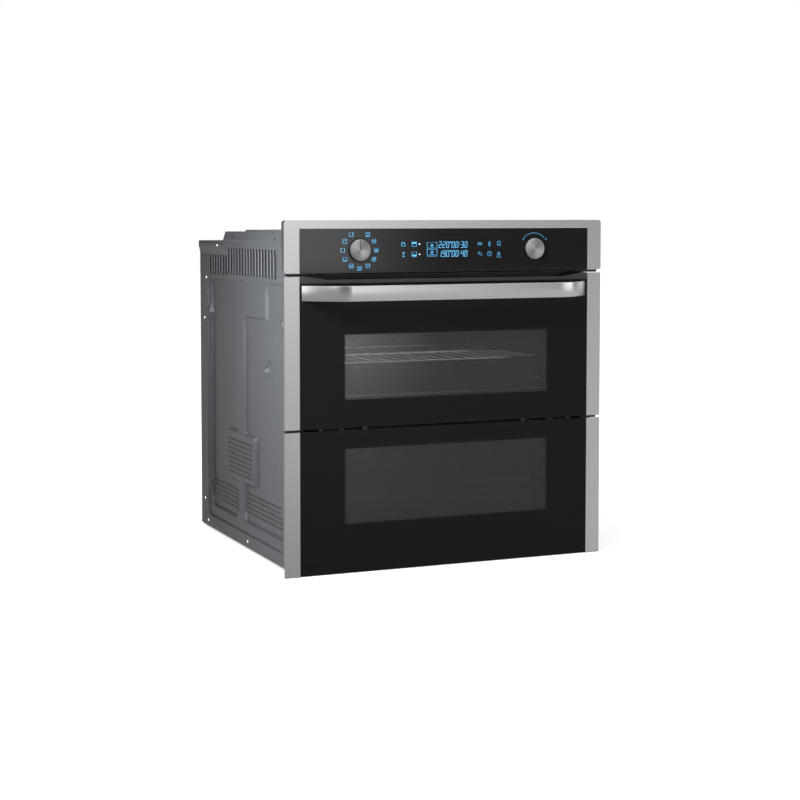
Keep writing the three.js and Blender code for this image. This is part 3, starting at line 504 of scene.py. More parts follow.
# black-backed glass whose printed border stops at the window
def doorGlass(name, windowLow, windowHigh, sheenLevel):
    look, tree, shader, where = newLook(name, doorGlassLook["tint"][:3], doorGlassLook["rough"], 0.0,
                                        Specular_IOR_Level=doorGlassLook["level"], Coat_Roughness=0.03)
    place = splitNode(tree, where)
    soft = doorGlassLook["soft"]
    acrossMask = edgeMask(tree, place["X"], windowLow.x, windowHigh.x, soft)
    upMask = edgeMask(tree, place["Z"], windowLow.z, windowHigh.z, soft)
    mask = mathNode(tree, "MULTIPLY", acrossMask, upMask)
    # painted reflection: the window is palest at its top left, fading towards the right and towards its foot
    leftward = ramp(tree, place["X"], 0.0, windowLow.x, 0.0, 1.0)
    upward = ramp(tree, place["Z"], windowLow.z, windowHigh.z, doorGlassLook["sheenFootShare"], 1.0)
    glow = mathNode(tree, "MULTIPLY", mathNode(tree, "MULTIPLY", leftward, upward), sheenLevel)
    pane = mixColor(tree, glow, doorGlassLook["window"], doorGlassLook["paintedSheenTint"])
    tint = mixColor(tree, mask, doorGlassLook["tint"], pane)
    tree.links.new(tint, shader.inputs["Base Color"])
    alpha = mathNode(tree, "SUBTRACT", 1.0, mathNode(tree, "MULTIPLY", mask, doorGlassLook["clear"]))
    tree.links.new(alpha, shader.inputs["Alpha"])
    # the panes behind the window add their own shine
    tree.links.new(mathNode(tree, "MULTIPLY", mask, doorGlassLook["shine"]), shader.inputs["Coat Weight"])
    smear = noiseNode(tree, where, 9.0, 2.0)
    rough = lineNode(tree, smear, smearShine["depth"], smearShine["base"])
    tree.links.new(rough, shader.inputs["Roughness"])
    return look


def plainGlass(name, tint, alpha, level):
    look, tree, shader, where = newLook(name, tint, 0.05, 0.0, Alpha=alpha, Specular_IOR_Level=level)
    smear = noiseNode(tree, where, 7.0, 2.0)
    tree.links.new(lineNode(tree, smear, 0.05, 0.02), shader.inputs["Roughness"])
    cloud = placeGroup(tree, cloudTone, where, Scale=5.0, Tint=(*tint, 1), Amount=0.2, Rough=0.05)
    tree.links.new(cloud.outputs["Color"], shader.inputs["Base Color"])
    return look


def litSymbol(name, tint, power):
    look, tree, shader, where = newLook(name, tint, 0.4, 0.0, Emission_Strength=power)
    glow = noiseNode(tree, where, 260.0, 1.0)
    uneven = mathNode(tree, "MULTIPLY", glow, 0.25)
    brighter = tuple(min(1.0, part * 1.25 + 0.04) for part in tint)
    tree.links.new(mixColor(tree, uneven, (*tint, 1), (*brighter, 1)), shader.inputs["Emission Color"])
    return look


# half width, foot and top of each sight opening, up from the foot of its frame
sightPlaces = {"upper_door_frame": (190 * mm, 51.5 * mm, 160 * mm),
               "lower_door_frame": (190 * mm, 70.5 * mm, 197 * mm)}


def windowOf(node):
    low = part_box(node)[0]
    half, foot, top = sightPlaces[node]
    return Vector((-half, 0, low.z + foot)), Vector((half, 0, low.z + top))


looks = {
    "brushed_steel": brushedSteel("brushedSteelAcross", "x"),
    "steelUpright": brushedSteel("brushedSteelUpright", "z"),
    "galvanised_steel": zincSheet(),
    "black_glass": plainGlass("panelGlass", (0.0055, 0.0055, 0.006), 1.0, 0.36),
    "inner_glass": plainGlass("innerGlass", (0.02, 0.021, 0.022), 0.38, 0.3),
    "black_paint": cloudedLook("blackPaint", (0.012, 0.012, 0.013), 0.4),
    "black_plastic": cloudedLook("blackPlastic", (0.014, 0.014, 0.016), 0.5, grain=1400.0, depth=0.12),
    "enamel": speckledEnamel(),
    "chrome_wire": cloudedLook("chromeWire", (0.72, 0.72, 0.73), 0.16, **bareMetal),
    "cast_aluminium": cloudedLook("castAluminium", (0.42, 0.43, 0.45), 0.42, **bareMetal),
    "glass_wool": fibreLook(),
    "silicone": cloudedLook("silicone", (0.08, 0.083, 0.088), 0.75),
    "circuit_board": cloudedLook("circuitBoard", (0.02, 0.08, 0.05), 0.5),
    # painted shade: a darker, duller copy of the black paint for the split pins in the gap between the leaves
    "shadedHingeBlack": cloudedLook("shadedHingeBlack", (0.003, 0.003, 0.003), 0.6, level=0.08),
    "paintedWhiteSpot": litSymbol("paintedWhiteSpot", (0.9, 0.9, 0.9), 0.45),
    # the upper window carries the full painted reflection, the lower one a tenth of it
    "upperDoorGlass": doorGlass("upperDoorGlass", *windowOf("upper_door_frame"), 1.0),
    "lowerDoorGlass": doorGlass("lowerDoorGlass", *windowOf("lower_door_frame"), 0.1),
    "litBlue": litSymbol("litBlue", (0.055, 0.26, 0.46), 0.72),
    "litPale": litSymbol("litPale", (0.12, 0.46, 0.74), 0.82),
    "litWhite": litSymbol("litWhite", (0.6, 0.85, 1.0), 1.0),
}

ownLooks = {
    "left_split_pin": "shadedHingeBlack", "right_split_pin": "shadedHingeBlack",
    "upper_door_glass": "upperDoorGlass", "lower_door_glass": "lowerDoorGlass",
    "upper_left_trim": "steelUpright", "upper_right_trim": "steelUpright",
    "lower_left_trim": "steelUpright", "lower_right_trim": "steelUpright",
}


def dressNodes():
    for name, thing in nodes.items():
        look = looks[ownLooks.get(name, slotOf[name])]
        thing.data.materials.clear()
        thing.data.materials.append(look)


dressNodes()
print("materials on the CAD nodes")


def makePiece(name, bm, body, slot, look=None, stands=(), smooth=None):
    bmesh.ops.recalc_face_normals(bm, faces=bm.faces)
    mesh = bpy.data.meshes.new(name)
    bm.to_mesh(mesh)
    bm.free()
    mesh.materials.append(look or looks[slot])
    if smooth is not None:
        mesh.shade_smooth()
        mesh.set_sharp_from_angle(angle=radians(smooth))
    piece = bpy.data.objects.new(name, mesh)
    scene.collection.objects.link(piece)
    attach(piece, body)
    if stands:
        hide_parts(*stands)
    return piece


def addSlab(bm, low, high):
    low, high = Vector(low), Vector(high)
    made = bmesh.ops.create_cube(bm, size=1.0)
    bmesh.ops.scale(bm, verts=made["verts"], vec=high - low)
    bmesh.ops.translate(bm, verts=made["verts"], vec=(low + high) / 2)
    return made["verts"]


def addRod(bm, start, end, radius, sides=16):
    start, end = Vector(start), Vector(end)
    along = end - start
    place = Matrix.Translation((start + end) / 2) @ along.to_track_quat("Z", "Y").to_matrix().to_4x4()
    made = bmesh.ops.create_cone(bm, cap_ends=True, segments=sides, radius1=radius, radius2=radius,
                                 depth=along.length, matrix=place)
    return made["verts"]


# flat below 1 presses the ball in along the depth
def addBead(bm, at, radius, flat=1.0):
    made = bmesh.ops.create_uvsphere(bm, u_segments=12, v_segments=8, radius=radius)
    bmesh.ops.scale(bm, verts=made["verts"], vec=(1, flat, 1))
    bmesh.ops.translate(bm, verts=made["verts"], vec=at)


def softenEdges(bm, width, segments=2, angle=35):
    sharp = [edge for edge in bm.edges if edge.is_manifold and edge.calc_face_angle(0) > radians(angle)]
    bmesh.ops.bevel(bm, geom=sharp, offset=width, offset_type="OFFSET", segments=segments, profile=0.5,
                    affect="EDGES", material=-1, clamp_overlap=True)


panelPress = {
    "skin": 0.9 * mm, "depth": 5.5 * mm, "wall": 4.4 * mm, "firstSlot": -182.4 * mm,
    "tallSlot": (489.5 * mm, 538.5 * mm), "shortSlot": (485.5 * mm, 524.2 * mm),
    "slotPitch": 16.3 * mm, "slotWidth": 6.5 * mm, "slots": 24, "shortSlots": 7,
    "stepFront": 88 * mm, "stepBack": 106 * mm, "rearTop": 549.5 * mm,
}
# the sheet's grid: wide cells on the flats, narrow ones across each pressed wall
panelGrid = {
    "coarse": 8 * mm, "fine": 1.1 * mm, "wallsY": (-226, -127, -62, -2, 38, 96, 196, 212),
    "wallsZ": (24.5, 45.5, 113.5, 203.5, 416.5, 478.5, 486),
}


bumpPlaces = ((203, 413.5), (207, 91.5), (-216, 411.5), (-218, 92.5))
bumpSize = {"radius": 11, "slope": 14, "rise": 0.25}
# how deep each pressed region lies, as a share of the full depth
pressShare = {"field": 0.45, "pocket": 0.75, "plate": 0.30, "crest": 0.45, "scoop": 1.5}


# signed distance to a rounded rectangle in the panel's (y, z) plane, negative inside
def roundedDistance(y, z, lowY, highY, lowZ, highZ, radius):
    dy = abs(y - (lowY + highY) / 2) - (highY - lowY) / 2 + radius
    dz = abs(z - (lowZ + highZ) / 2) - (highZ - lowZ) / 2 + radius
    outside = (max(dy, 0) ** 2 + max(dz, 0) ** 2) ** 0.5
    return outside + min(max(dy, dz), 0) - radius


def softStep(distance, wall):
    part = min(max(0.5 - distance / wall, 0), 1)
    return part * part * (3 - 2 * part)


def pressDepth(y, z):
    wall = panelPress["wall"]
    y, z = y / mm, z / mm

    def region(lowY, highY, lowZ, highZ, radius=14):
        return roundedDistance(y * mm, z * mm, lowY * mm, highY * mm, lowZ * mm, highZ * mm, radius * mm)

    rearPocket = softStep(region(38, 196, 45.5, 478.5), wall)
    frontPocket = softStep(min(region(-214, -2, 45.5, 416.5), region(-260, -127, 380, 480.5)), wall)
    perforatedPlate = softStep(region(-62, 96, 113.5, 203.5, 6), wall)
    field = softStep(region(-226, 212, 24.5, 486, 18), wall)
    depth = pressShare["field"] * field + pressShare["pocket"] * max(rearPocket, frontPocket)
    depth = depth * (1 - perforatedPlate) + pressShare["plate"] * perforatedPlate
    for bumpY, bumpZ in bumpPlaces:
        away = ((y - bumpY) ** 2 + (z - bumpZ) ** 2) ** 0.5
        bump = softStep((away - bumpSize["radius"]) * mm, bumpSize["slope"] * mm)
        depth = depth * (1 - bump) - bumpSize["rise"] * bump
    # the strip over the slots, which steps down with the cover
    crest = 551.5 if y < 84 else (551.5 - (y - 84) * 1.02 if y < 102 else 533.2)
    depth -= pressShare["crest"] * softStep((crest - z) * mm, 4 * mm)
    scoop = ((y + 134) / 11) ** 2 + ((z - 327.5) / 17) ** 2
    if scoop < 1:
        depth -= pressShare["scoop"] * (1 - scoop) * (1 if y > -134 else 0.3)
    return depth * panelPress["depth"]


def slotBoxes():
    boxes = []
    half = panelPress["slotWidth"] / 2
    for index in range(panelPress["slots"]):
        middle = panelPress["firstSlot"] + index * panelPress["slotPitch"]
        tall = index < panelPress["slots"] - panelPress["shortSlots"]
        lowZ, highZ = panelPress["tallSlot" if tall else "shortSlot"]
        boxes.append((middle - half, middle + half, lowZ, highZ))
    return boxes


# glowing white spots (painted light) and dark holes, as (y, z) places in millimetres
whiteSpotPlaces = ((140, 541.5), (219, 479.5), (232, 401.5), (235.7, 51.5), (216, 11.5), (-26, 11.8))
darkHoles = ((129, 465.5), (44, 557.5), (15, 479.5), (-190, 557))


def cutAlong(bm, point, normal):
    geom = bm.verts[:] + bm.edges[:] + bm.faces[:]
    bmesh.ops.bisect_plane(bm, geom=geom, dist=1e-7, plane_co=point, plane_no=normal)


def gridLines(low, high, exact, walls):
    kept = [low, high, *exact]
    fine = [wall * mm + step * panelGrid["fine"] for wall in walls for step in range(-3, 4)]
    coarse = [low + step * panelGrid["coarse"] for step in range(int((high - low) / panelGrid["coarse"]))]
    for candidates, gap in ((fine, 0.6 * mm), (coarse, 3 * mm)):
        for place in candidates:
            if low < place < high and all(abs(place - other) > gap for other in kept):
                kept.append(place)
    return sorted(kept)


def buildSidePanel(side):
    node = side + "_side_panel"
    low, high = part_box(node)
    outward = 1 if side == "right" else -1
    x = high.x if outward > 0 else low.x
    boxes = slotBoxes()
    edgesY = sorted({edge for box in boxes for edge in box[:2]})
    edgesZ = sorted({edge for box in boxes for edge in box[2:]})
    linesY = gridLines(low.y, high.y, edgesY, panelGrid["wallsY"])
    linesZ = gridLines(low.z, high.z, edgesZ, panelGrid["wallsZ"])
    bm = bmesh.new()
    bmesh.ops.create_grid(bm, x_segments=len(linesY) - 1, y_segments=len(linesZ) - 1, size=0.5)
    for vert in bm.verts:
        column = round((vert.co.x + 0.5) * (len(linesY) - 1))
        row = round((vert.co.y + 0.5) * (len(linesZ) - 1))
        vert.co = (x, linesY[column], linesZ[row])
    stepFront, rearTop = panelPress["stepFront"], panelPress["rearTop"]
    cutAlong(bm, (x, 0, rearTop), (0, 0, 1))
    slope = Vector((0, high.z - rearTop, panelPress["stepBack"] - stepFront)).normalized()
    cutAlong(bm, (x, stepFront, high.z), slope)
    gone = []
    for face in bm.faces:
        middle = face.calc_center_median()
        offSlope = (middle - Vector((x, stepFront, high.z))).dot(slope) > 0
        inSlot = any(a < middle.y < b and c < middle.z < d for a, b, c, d in boxes)
        if inSlot or (offSlope and middle.z > rearTop):
            gone.append(face)
    bmesh.ops.delete(bm, geom=gone, context="FACES")
    for vert in bm.verts:
        vert.co.x = x - outward * pressDepth(vert.co.y, vert.co.z)
    bmesh.ops.recalc_face_normals(bm, faces=bm.faces)
    piece = makePiece(node + "_pressed", bm, "cabinet", "galvanised_steel", stands=(node,), smooth=32)
    if (piece.data.polygons[0].normal.x > 0) != (outward > 0):
        piece.data.flip_normals()
    wall = piece.modifiers.new("sheetThickness", "SOLIDIFY")
    wall.thickness = panelPress["skin"]
    wall.offset = -1
    return x, outward


perforation = {
    "pitchY": 10.1 * mm, "pitchZ": 8.6 * mm, "wide": 3.0 * mm, "tall": 4.4 * mm,
    "sunk": 0.3 * mm, "proud": 0.2 * mm,
    "patches": ((-46, 94, 126.5, 191), (35, 177, 60.5, 99.5), (-196, -12, 62, 100)),
}
panelStud = {"radius": 2.2 * mm, "sunk": 0.8 * mm, "proud": 0.3 * mm, "sides": 12}


# short round studs through the sheet, at (y, z) places in millimetres
def addStuds(bm, places, x, outward):
    for y, z in places:
        surface = x - outward * pressDepth(y * mm, z * mm)
        inner = (surface - outward * panelStud["sunk"], y * mm, z * mm)
        outer = (surface + outward * panelStud["proud"], y * mm, z * mm)
        addRod(bm, inner, outer, panelStud["radius"], panelStud["sides"])


# each perforation is a small dark block let into the sheet
def buildPerforations(side, x, outward):
    bm = bmesh.new()
    halfY, halfZ = perforation["wide"] / 2, perforation["tall"] / 2
    for lowY, highY, lowZ, highZ in perforation["patches"]:
        countY = int((highY - lowY) * mm / perforation["pitchY"]) + 1
        countZ = int((highZ - lowZ) * mm / perforation["pitchZ"]) + 1
        for column in range(countY):
            for row in range(countZ):
                y = lowY * mm + column * perforation["pitchY"]
                z = lowZ * mm + row * perforation["pitchZ"]
                surface = x - outward * pressDepth(y, z)
                skin = surface + outward * perforation["proud"]
                addSlab(bm, (min(surface, skin) - perforation["sunk"], y - halfY, z - halfZ),
                        (max(surface, skin), y + halfY, z + halfZ))
    addStuds(bm, darkHoles, x, outward)
    makePiece(side + "_panel_perforations", bm, "cabinet", "black_paint")
    # white studs that glow: painted light for the pure-white spots on the sheet
    bm = bmesh.new()
    addStuds(bm, whiteSpotPlaces, x, outward)
    makePiece(side + "_panel_white_spots", bm, "cabinet", "silicone", looks["paintedWhiteSpot"])


for side in ("left", "right"):
    panelX, panelOut = buildSidePanel(side)
    buildPerforations(side, panelX, panelOut)
print("side panels pressed")


dialShape = {
    "bevel": 1.1 * mm, "dish": 0.5 * mm, "grooveWidth": 1.1 * mm, "tint": (0.37, 0.372, 0.376, 1),
    "fanTurn": 0.9, "fanSwing": 0.30, "grooves": 2200.0, "grooveDepth": 0.30, "rough": 0.32, "steps": 64,
}


def spunSteel(name, centre):
    look, tree, shader, where = newLook(name, dialShape["tint"][:3], 0.3, 1.0)
    shift = tree.nodes.new("ShaderNodeMapping")
    shift.inputs["Location"].default_value = (-centre.x, -centre.y, -centre.z)
    tree.links.new(where, shift.inputs["Vector"])
    face = splitNode(tree, shift.outputs["Vector"])
    flat = tree.nodes.new("ShaderNodeCombineXYZ")
    tree.links.new(face["X"], flat.inputs["X"])
    tree.links.new(face["Z"], flat.inputs["Y"])
    rings = tree.nodes.new("ShaderNodeCombineXYZ")
    reach = lengthNode(tree, flat.outputs[0])
    tree.links.new(mathNode(tree, "MULTIPLY", reach, dialShape["grooves"]), rings.inputs["X"])
    grain = placeGroup(tree, brushGrain, rings.outputs[0], Tint=dialShape["tint"],
                       Depth=dialShape["grooveDepth"], Rough=dialShape["rough"])
    # painted highlight: two soft fans of light, as on a turned face
    turn = mathNode(tree, "ADD", mathNode(tree, "ARCTAN2", face["X"], face["Z"]), dialShape["fanTurn"])
    fans = mathNode(tree, "COSINE", mathNode(tree, "MULTIPLY", turn, 2.0))
    lit = scaleColor(tree, grain.outputs["Color"], lineNode(tree, fans, dialShape["fanSwing"], 1.0))
    feedShader(tree, shader, lit, grain.outputs["Roughness"])
    bumpInto(tree, shader, grain.outputs["Height"], 0.12, 0.0002)
    return look


def buildDial(side, x, box, marked):
    low, high = box
    radius = (high.x - low.x) / 2
    centre = Vector((x, low.y, (low.z + high.z) / 2))
    bm = bmesh.new()
    deep = high.y - low.y
    dish, bevel = dialShape["dish"], dialShape["bevel"]
    profile = [(0, dish), (radius * 0.55, dish * 0.7), (radius - bevel * 1.6, 0),
               (radius - bevel * 0.5, bevel * 0.3), (radius, bevel), (radius, deep), (0, deep)]
    chain = [bm.verts.new((r, y, 0)) for r, y in profile]
    edges = [bm.edges.new(pair) for pair in zip(chain, chain[1:])]
    bmesh.ops.spin(bm, geom=chain + edges, cent=(0, 0, 0), axis=(0, 1, 0), angle=2 * pi,
                   steps=dialShape["steps"], use_merge=True)
    bmesh.ops.remove_doubles(bm, verts=bm.verts, dist=1e-6)
    bmesh.ops.translate(bm, verts=bm.verts, vec=centre)
    look = spunSteel(side + "DialSteel", centre)
    makePiece(side + "_dial_face", bm, side + "_dial", "brushed_steel", look, (side + "_dial",), smooth=40)
    if marked:
        line = bmesh.new()
        addSlab(line, (x - dialShape["grooveWidth"] / 2, low.y - 0.1 * mm, centre.z + 1 * mm),
                (x + dialShape["grooveWidth"] / 2, low.y + 2 * mm, centre.z + radius - 0.6 * mm))
        softenEdges(line, 0.15 * mm)
        makePiece(side + "_dial_mark", line, side + "_dial", "black_plastic")


buildDial("left", -dialX, leftDialBox, True)
buildDial("right", dialX, rightDialBox, False)


handleShape = {"corner": 214 * mm, "reach": 24 * mm, "thick": 3.2 * mm, "steps": 24, "bevel": 0.7 * mm,
               "studX": 22 * mm, "studDepth": 16 * mm, "studRadius": 2 * mm}


def buildHandle():
    low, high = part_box("door_handle")
    rootY = frontY - 0.3 * mm
    endX = high.x
    bowY = low.y
    root = Vector((endX, rootY, 0))
    corner = Vector((handleShape["corner"], bowY, 0))
    legEnd = corner + (root - corner).normalized() * handleShape["reach"]
    bowEnd = corner - Vector((handleShape["reach"], 0, 0))
    path = [root]
    for index in range(handleShape["steps"] + 1):
        t = index / handleShape["steps"]
        path.append(legEnd * (1 - t) ** 2 + corner * 2 * t * (1 - t) + bowEnd * t * t)
    path += [Vector((bowEnd.x * part, bowY, 0)) for part in (0.5, 0.0)]
    path += [Vector((-point.x, point.y, 0)) for point in reversed(path[:-1])]
    bm = bmesh.new()
    verts = [bm.verts.new((point.x, point.y, low.z)) for point in path]
    for pair in zip(verts, verts[1:]):
        bm.edges.new(pair)
    grown = bmesh.ops.extrude_edge_only(bm, edges=bm.edges)
    top = [item for item in grown["geom"] if isinstance(item, bmesh.types.BMVert)]
    bmesh.ops.translate(bm, verts=top, vec=(0, 0, high.z - low.z))
    bmesh.ops.recalc_face_normals(bm, faces=bm.faces)
    middle = max(bm.faces, key=lambda face: -abs(face.calc_center_median().x))
    if middle.normal.y > 0:
        bmesh.ops.reverse_faces(bm, faces=bm.faces)
    bmesh.ops.solidify(bm, geom=bm.faces[:], thickness=handleShape["thick"])
    for vert in bm.verts:
        vert.co.y = min(vert.co.y, rootY)
    bmesh.ops.remove_doubles(bm, verts=bm.verts, dist=1e-6)
    softenEdges(bm, handleShape["bevel"], 3, 60)
    middleZ = (low.z + high.z) / 2
    for x in (-handleShape["studX"], handleShape["studX"]):
        addRod(bm, (x, bowY + handleShape["thick"] - 1 * mm, middleZ),
               (x, bowY + handleShape["studDepth"], middleZ), handleShape["studRadius"])
    makePiece("door_handle_strap", bm, "upper_door", "brushed_steel", stands=("door_handle",), smooth=40)


buildHandle()
print("dials and handle built")


inkDepth = 0.25 * mm       # how far the lit symbols stand out of the glass


# one straight stroke in the glass plane, between two (x, z) places
def addStroke(bm, start, end, width):
    start, end = Vector((start[0], 0, start[1])), Vector((end[0], 0, end[1]))
    along = end - start
    size = Matrix.Diagonal((along.length + width, inkDepth, width, 1))
    turn = Vector((1, 0, 0)).rotation_difference(along).to_matrix().to_4x4()
    middle = (start + end) / 2 + Vector((0, frontY - inkDepth / 2 + 0.05 * mm, 0))
    bmesh.ops.create_cube(bm, size=1.0, matrix=Matrix.Translation(middle) @ turn @ size)


def addStrokes(bm, centre, half, strokes, width):
    x, z = centre
    for x0, z0, x1, z1 in strokes:
        addStroke(bm, (x + x0 * half, z + z0 * half), (x + x1 * half, z + z1 * half), width)


def addArc(bm, centre, radius, fromDegrees, toDegrees, steps, width):
    corners = []
    for index in range(steps + 1):
        angle = radians(fromDegrees + (toDegrees - fromDegrees) * index / steps)
        corners.append((centre[0] + radius * sin(angle), centre[1] + radius * cos(angle)))
    for start, end in zip(corners, corners[1:]):
        addStroke(bm, start, end, width)


frameSquare = ((-1, -1, 1, -1), (1, -1, 1, 1), (1, 1, -1, 1), (-1, 1, -1, -1))
fanCross = ((-0.4, -0.4, 0.4, 0.4), (-0.4, 0.4, 0.4, -0.4))
roofBar = ((-0.55, 0.55, 0.55, 0.55),)
baseBar = ((-0.55, -0.55, 0.55, -0.55),)
grillZigzag = ((-0.6, 0.6, -0.2, 0.25), (-0.2, 0.25, 0.2, 0.6), (0.2, 0.6, 0.6, 0.25))
steamLines = ((-0.35, -0.5, -0.35, 0.5), (0.35, -0.5, 0.35, 0.5))
# clockwise round the left dial from one o'clock; the place at twelve is empty
modeSymbols = (
    roofBar + baseBar, fanCross, fanCross + baseBar, roofBar + fanCross, grillZigzag, grillZigzag + baseBar,
    steamLines, baseBar, (), roofBar, (),
)
sevenSegments = {
    "0": "abcdef", "1": "bc", "2": "abged", "3": "abgcd", "4": "fgbc", "9": "abcdfg",
}
segmentPlaces = {
    "a": (0, 1, 1, 1), "b": (1, 1, 1, 0.5), "c": (1, 0.5, 1, 0), "d": (0, 0, 1, 0), "e": (0, 0, 0, 0.5),
    "f": (0, 0.5, 0, 1), "g": (0, 0.5, 1, 0.5),
}
panelInk = {
    "modeRadius": 30.2 * mm, "modeHalf": 3.3 * mm, "modeLine": 0.52 * mm,
    "digitWide": 4.2 * mm, "digitTall": 10.0 * mm, "digitPitch": 7.1 * mm, "digitLine": 0.45 * mm,
    "slant": 0.10, "ringRadius": 0.9 * mm, "ringLine": 0.6 * mm, "ringPitch": 3.1 * mm,
    "colonPitch": 2.9 * mm,
    "upperRow": 542.6 * mm, "lowerRow": 527.4 * mm, "rowStart": -18.4 * mm,
    "keyLine": 0.54 * mm, "keyHalf": 4 * mm, "dot": 1.5 * mm,
}


def addNumber(bm, text, x, z):
    wide, tall, line = panelInk["digitWide"], panelInk["digitTall"], panelInk["digitLine"]
    ring, lean = panelInk["ringRadius"], panelInk["slant"] * tall
    for sign in text:
        if sign == "o":
            addArc(bm, (x + ring, z + tall - ring), ring, 0, 360, 8, panelInk["ringLine"])
            x += panelInk["ringPitch"]
            continue
        if sign == ":":
            for part in (0.3, 0.7):
                addStroke(bm, (x + 0.4 * mm, z + tall * part), (x + 0.9 * mm, z + tall * part), line)
            x += panelInk["colonPitch"]
            continue
        for segment in sevenSegments[sign]:
            x0, z0, x1, z1 = segmentPlaces[segment]
            addStroke(bm, (x + x0 * wide + z0 * lean, z + z0 * tall),
                      (x + x1 * wide + z1 * lean, z + z1 * tall), line)
        x += panelInk["digitPitch"]


def buildModeRing():
    bm = bmesh.new()
    for hour, inner in enumerate(modeSymbols, start=1):
        angle = radians(30 * hour)
        centre = (-dialX + panelInk["modeRadius"] * sin(angle), dialZ + panelInk["modeRadius"] * cos(angle))
        addStrokes(bm, centre, panelInk["modeHalf"], frameSquare + tuple(inner), panelInk["modeLine"])
    makePiece("mode_symbols", bm, "cabinet", "black_glass", looks["litBlue"])


def buildDisplay():
    bm = bmesh.new()
    addNumber(bm, "220o00:30", panelInk["rowStart"], panelInk["upperRow"])
    addNumber(bm, "190o00:40", panelInk["rowStart"], panelInk["lowerRow"])
    makePiece("display_numbers", bm, "cabinet", "black_glass", looks["litPale"])
    bm = bmesh.new()
    line = panelInk["keyLine"]
    zone = (-31 * mm, 540 * mm)
    addStrokes(bm, zone, 9 * mm, ((-1, -1.3, 1, -1.3), (1, -1.3, 1, 1.3), (1, 1.3, -1, 1.3),
                                  (-1, 1.3, -1, -1.3), (-1, 0, 1, 0), (-0.6, -1.05, 0.6, -1.05),
                                  (-0.6, 0.25, 0.6, 0.25)), line)
    for z in (zone[1] + 6.5 * mm, zone[1] - 5.2 * mm):
        addStrokes(bm, (zone[0], z), 4.4 * mm, fanCross + ((-0.6, 0, 0.6, 0), (0, -0.6, 0, 0.6)), line)
    makePiece("display_zones", bm, "cabinet", "black_glass", looks["litBlue"])


keyRows = {"top": 548.9 * mm, "low": 531.6 * mm}
# column, row and strokes of each touch key
keySymbols = (
    (-84, "top", ((-0.9, -0.8, 0.2, -0.8), (-0.9, -0.8, -0.9, 0.8), (-0.9, 0.8, 0.5, 0.8), (0.5, 0.8, 0.5, 0),
                  (-0.5, 0.3, 0.1, 0.3), (0.5, -0.9, 1, -0.4), (1, -0.4, 0.6, -0.2))),
    (-84, "low", ((-0.5, 0.9, 0.5, 0.9), (-0.4, 0.9, 0, 0), (0.4, 0.9, 0, 0), (0, 0, -0.4, -0.9),
                  (0, 0, 0.4, -0.9), (-0.5, -0.9, 0.5, -0.9))),
    (-64, "top", frameSquare),
    (-64, "low", frameSquare),
    (59.5, "top", ((-0.9, 0.45, 0.5, 0.45), (-0.9, -0.45, 0.5, -0.45), (-0.9, 0.45, -0.9, -0.45),
                   (0.5, 0.45, 1, 0), (0.5, -0.45, 1, 0), (-0.3, 0, 0.3, 0))),
    (77.6, "top", ((-0.25, 0.9, 0.25, 0.9), (-0.25, 0.9, -0.25, -0.2), (0.25, 0.9, 0.25, -0.2))),
    (95.5, "top", ((-0.6, 0.9, 0.7, 0.9), (-0.6, 0.9, -0.6, -0.6), (-0.6, -0.6, 0.2, -0.6),
                   (0.7, 0.9, 0.7, -0.1), (0.2, -0.6, 0.8, -1), (0.2, -0.6, 0.7, -0.1))),
    (59.5, "low", ((-0.9, 0.3, 0.5, 0.3), (-0.9, 0.3, -0.4, 0.8), (-0.9, 0.3, -0.4, -0.2),
                   (0.9, 0, 0.9, -0.5), (0.5, -0.8, -0.2, -0.8), (0.5, 0.3, 0.9, 0), (0.9, -0.5, 0.5, -0.8))),
    (77.6, "low", ((0, 0, 0, 0.55), (0, 0, 0.4, 0))),
    (95.5, "low", ((-0.6, 0.1, 0.6, 0.1), (-0.6, 0.1, -0.6, -0.7), (0.6, 0.1, 0.6, -0.7),
                   (-0.6, -0.7, 0.6, -0.7))),
)
# column, row, rise, radius, from and to degrees, steps
keyArcs = (
    (77.6, "top", -0.6, 0.42, 0, 360, 10),
    (77.6, "low", 0, 0.95, 0, 360, 16),
    (95.5, "low", 0.2, 0.42, -90, 90, 8),
)


def buildKeys():
    bm = bmesh.new()
    line, half = panelInk["keyLine"], panelInk["keyHalf"]
    for column, row, strokes in keySymbols:
        addStrokes(bm, (column * mm, keyRows[row]), half, strokes, line)
    for column, row, rise, radius, fromDegrees, toDegrees, steps in keyArcs:
        place = (column * mm, keyRows[row] + rise * half)
        addArc(bm, place, radius * half, fromDegrees, toDegrees, steps, line)
    # the filled halves of the two zone keys and the line under the lock
    for row, rise in (("top", 0.45), ("low", -0.45)):
        z = keyRows[row] + rise * half
        addStroke(bm, (-64 * mm - 0.7 * half, z), (-64 * mm + 0.7 * half, z), 2.2 * mm)
    addStroke(bm, (91 * mm, 525.6 * mm), (100 * mm, 525.6 * mm), 0.5 * mm)
    makePiece("touch_keys", bm, "cabinet", "black_glass", looks["litBlue"])
    bm = bmesh.new()
    for z in keyRows.values():
        addStroke(bm, (-54.6 * mm, z), (-54 * mm, z), panelInk["dot"])
    makePiece("panel_dots", bm, "cabinet", "black_glass", looks["litWhite"])
    bm = bmesh.new()
    for x in (143 * mm, 187 * mm):
        addStroke(bm, (x, 556.4 * mm), (x + 0.6 * mm, 556.4 * mm), panelInk["dot"])
    addArc(bm, (dialX, dialZ), 27.5 * mm, -44, 46, 24, 0.55 * mm)
    makePiece("dial_arc", bm, "cabinet", "black_glass", looks["litBlue"])


buildModeRing()
buildDisplay()
buildKeys()
print("panel symbols lit")


wireShape = {"frame": 3 * mm, "bar": 1.6 * mm, "pitch": 26 * mm, "barInset": 1.5 * mm, "barRise": 1.4 * mm}


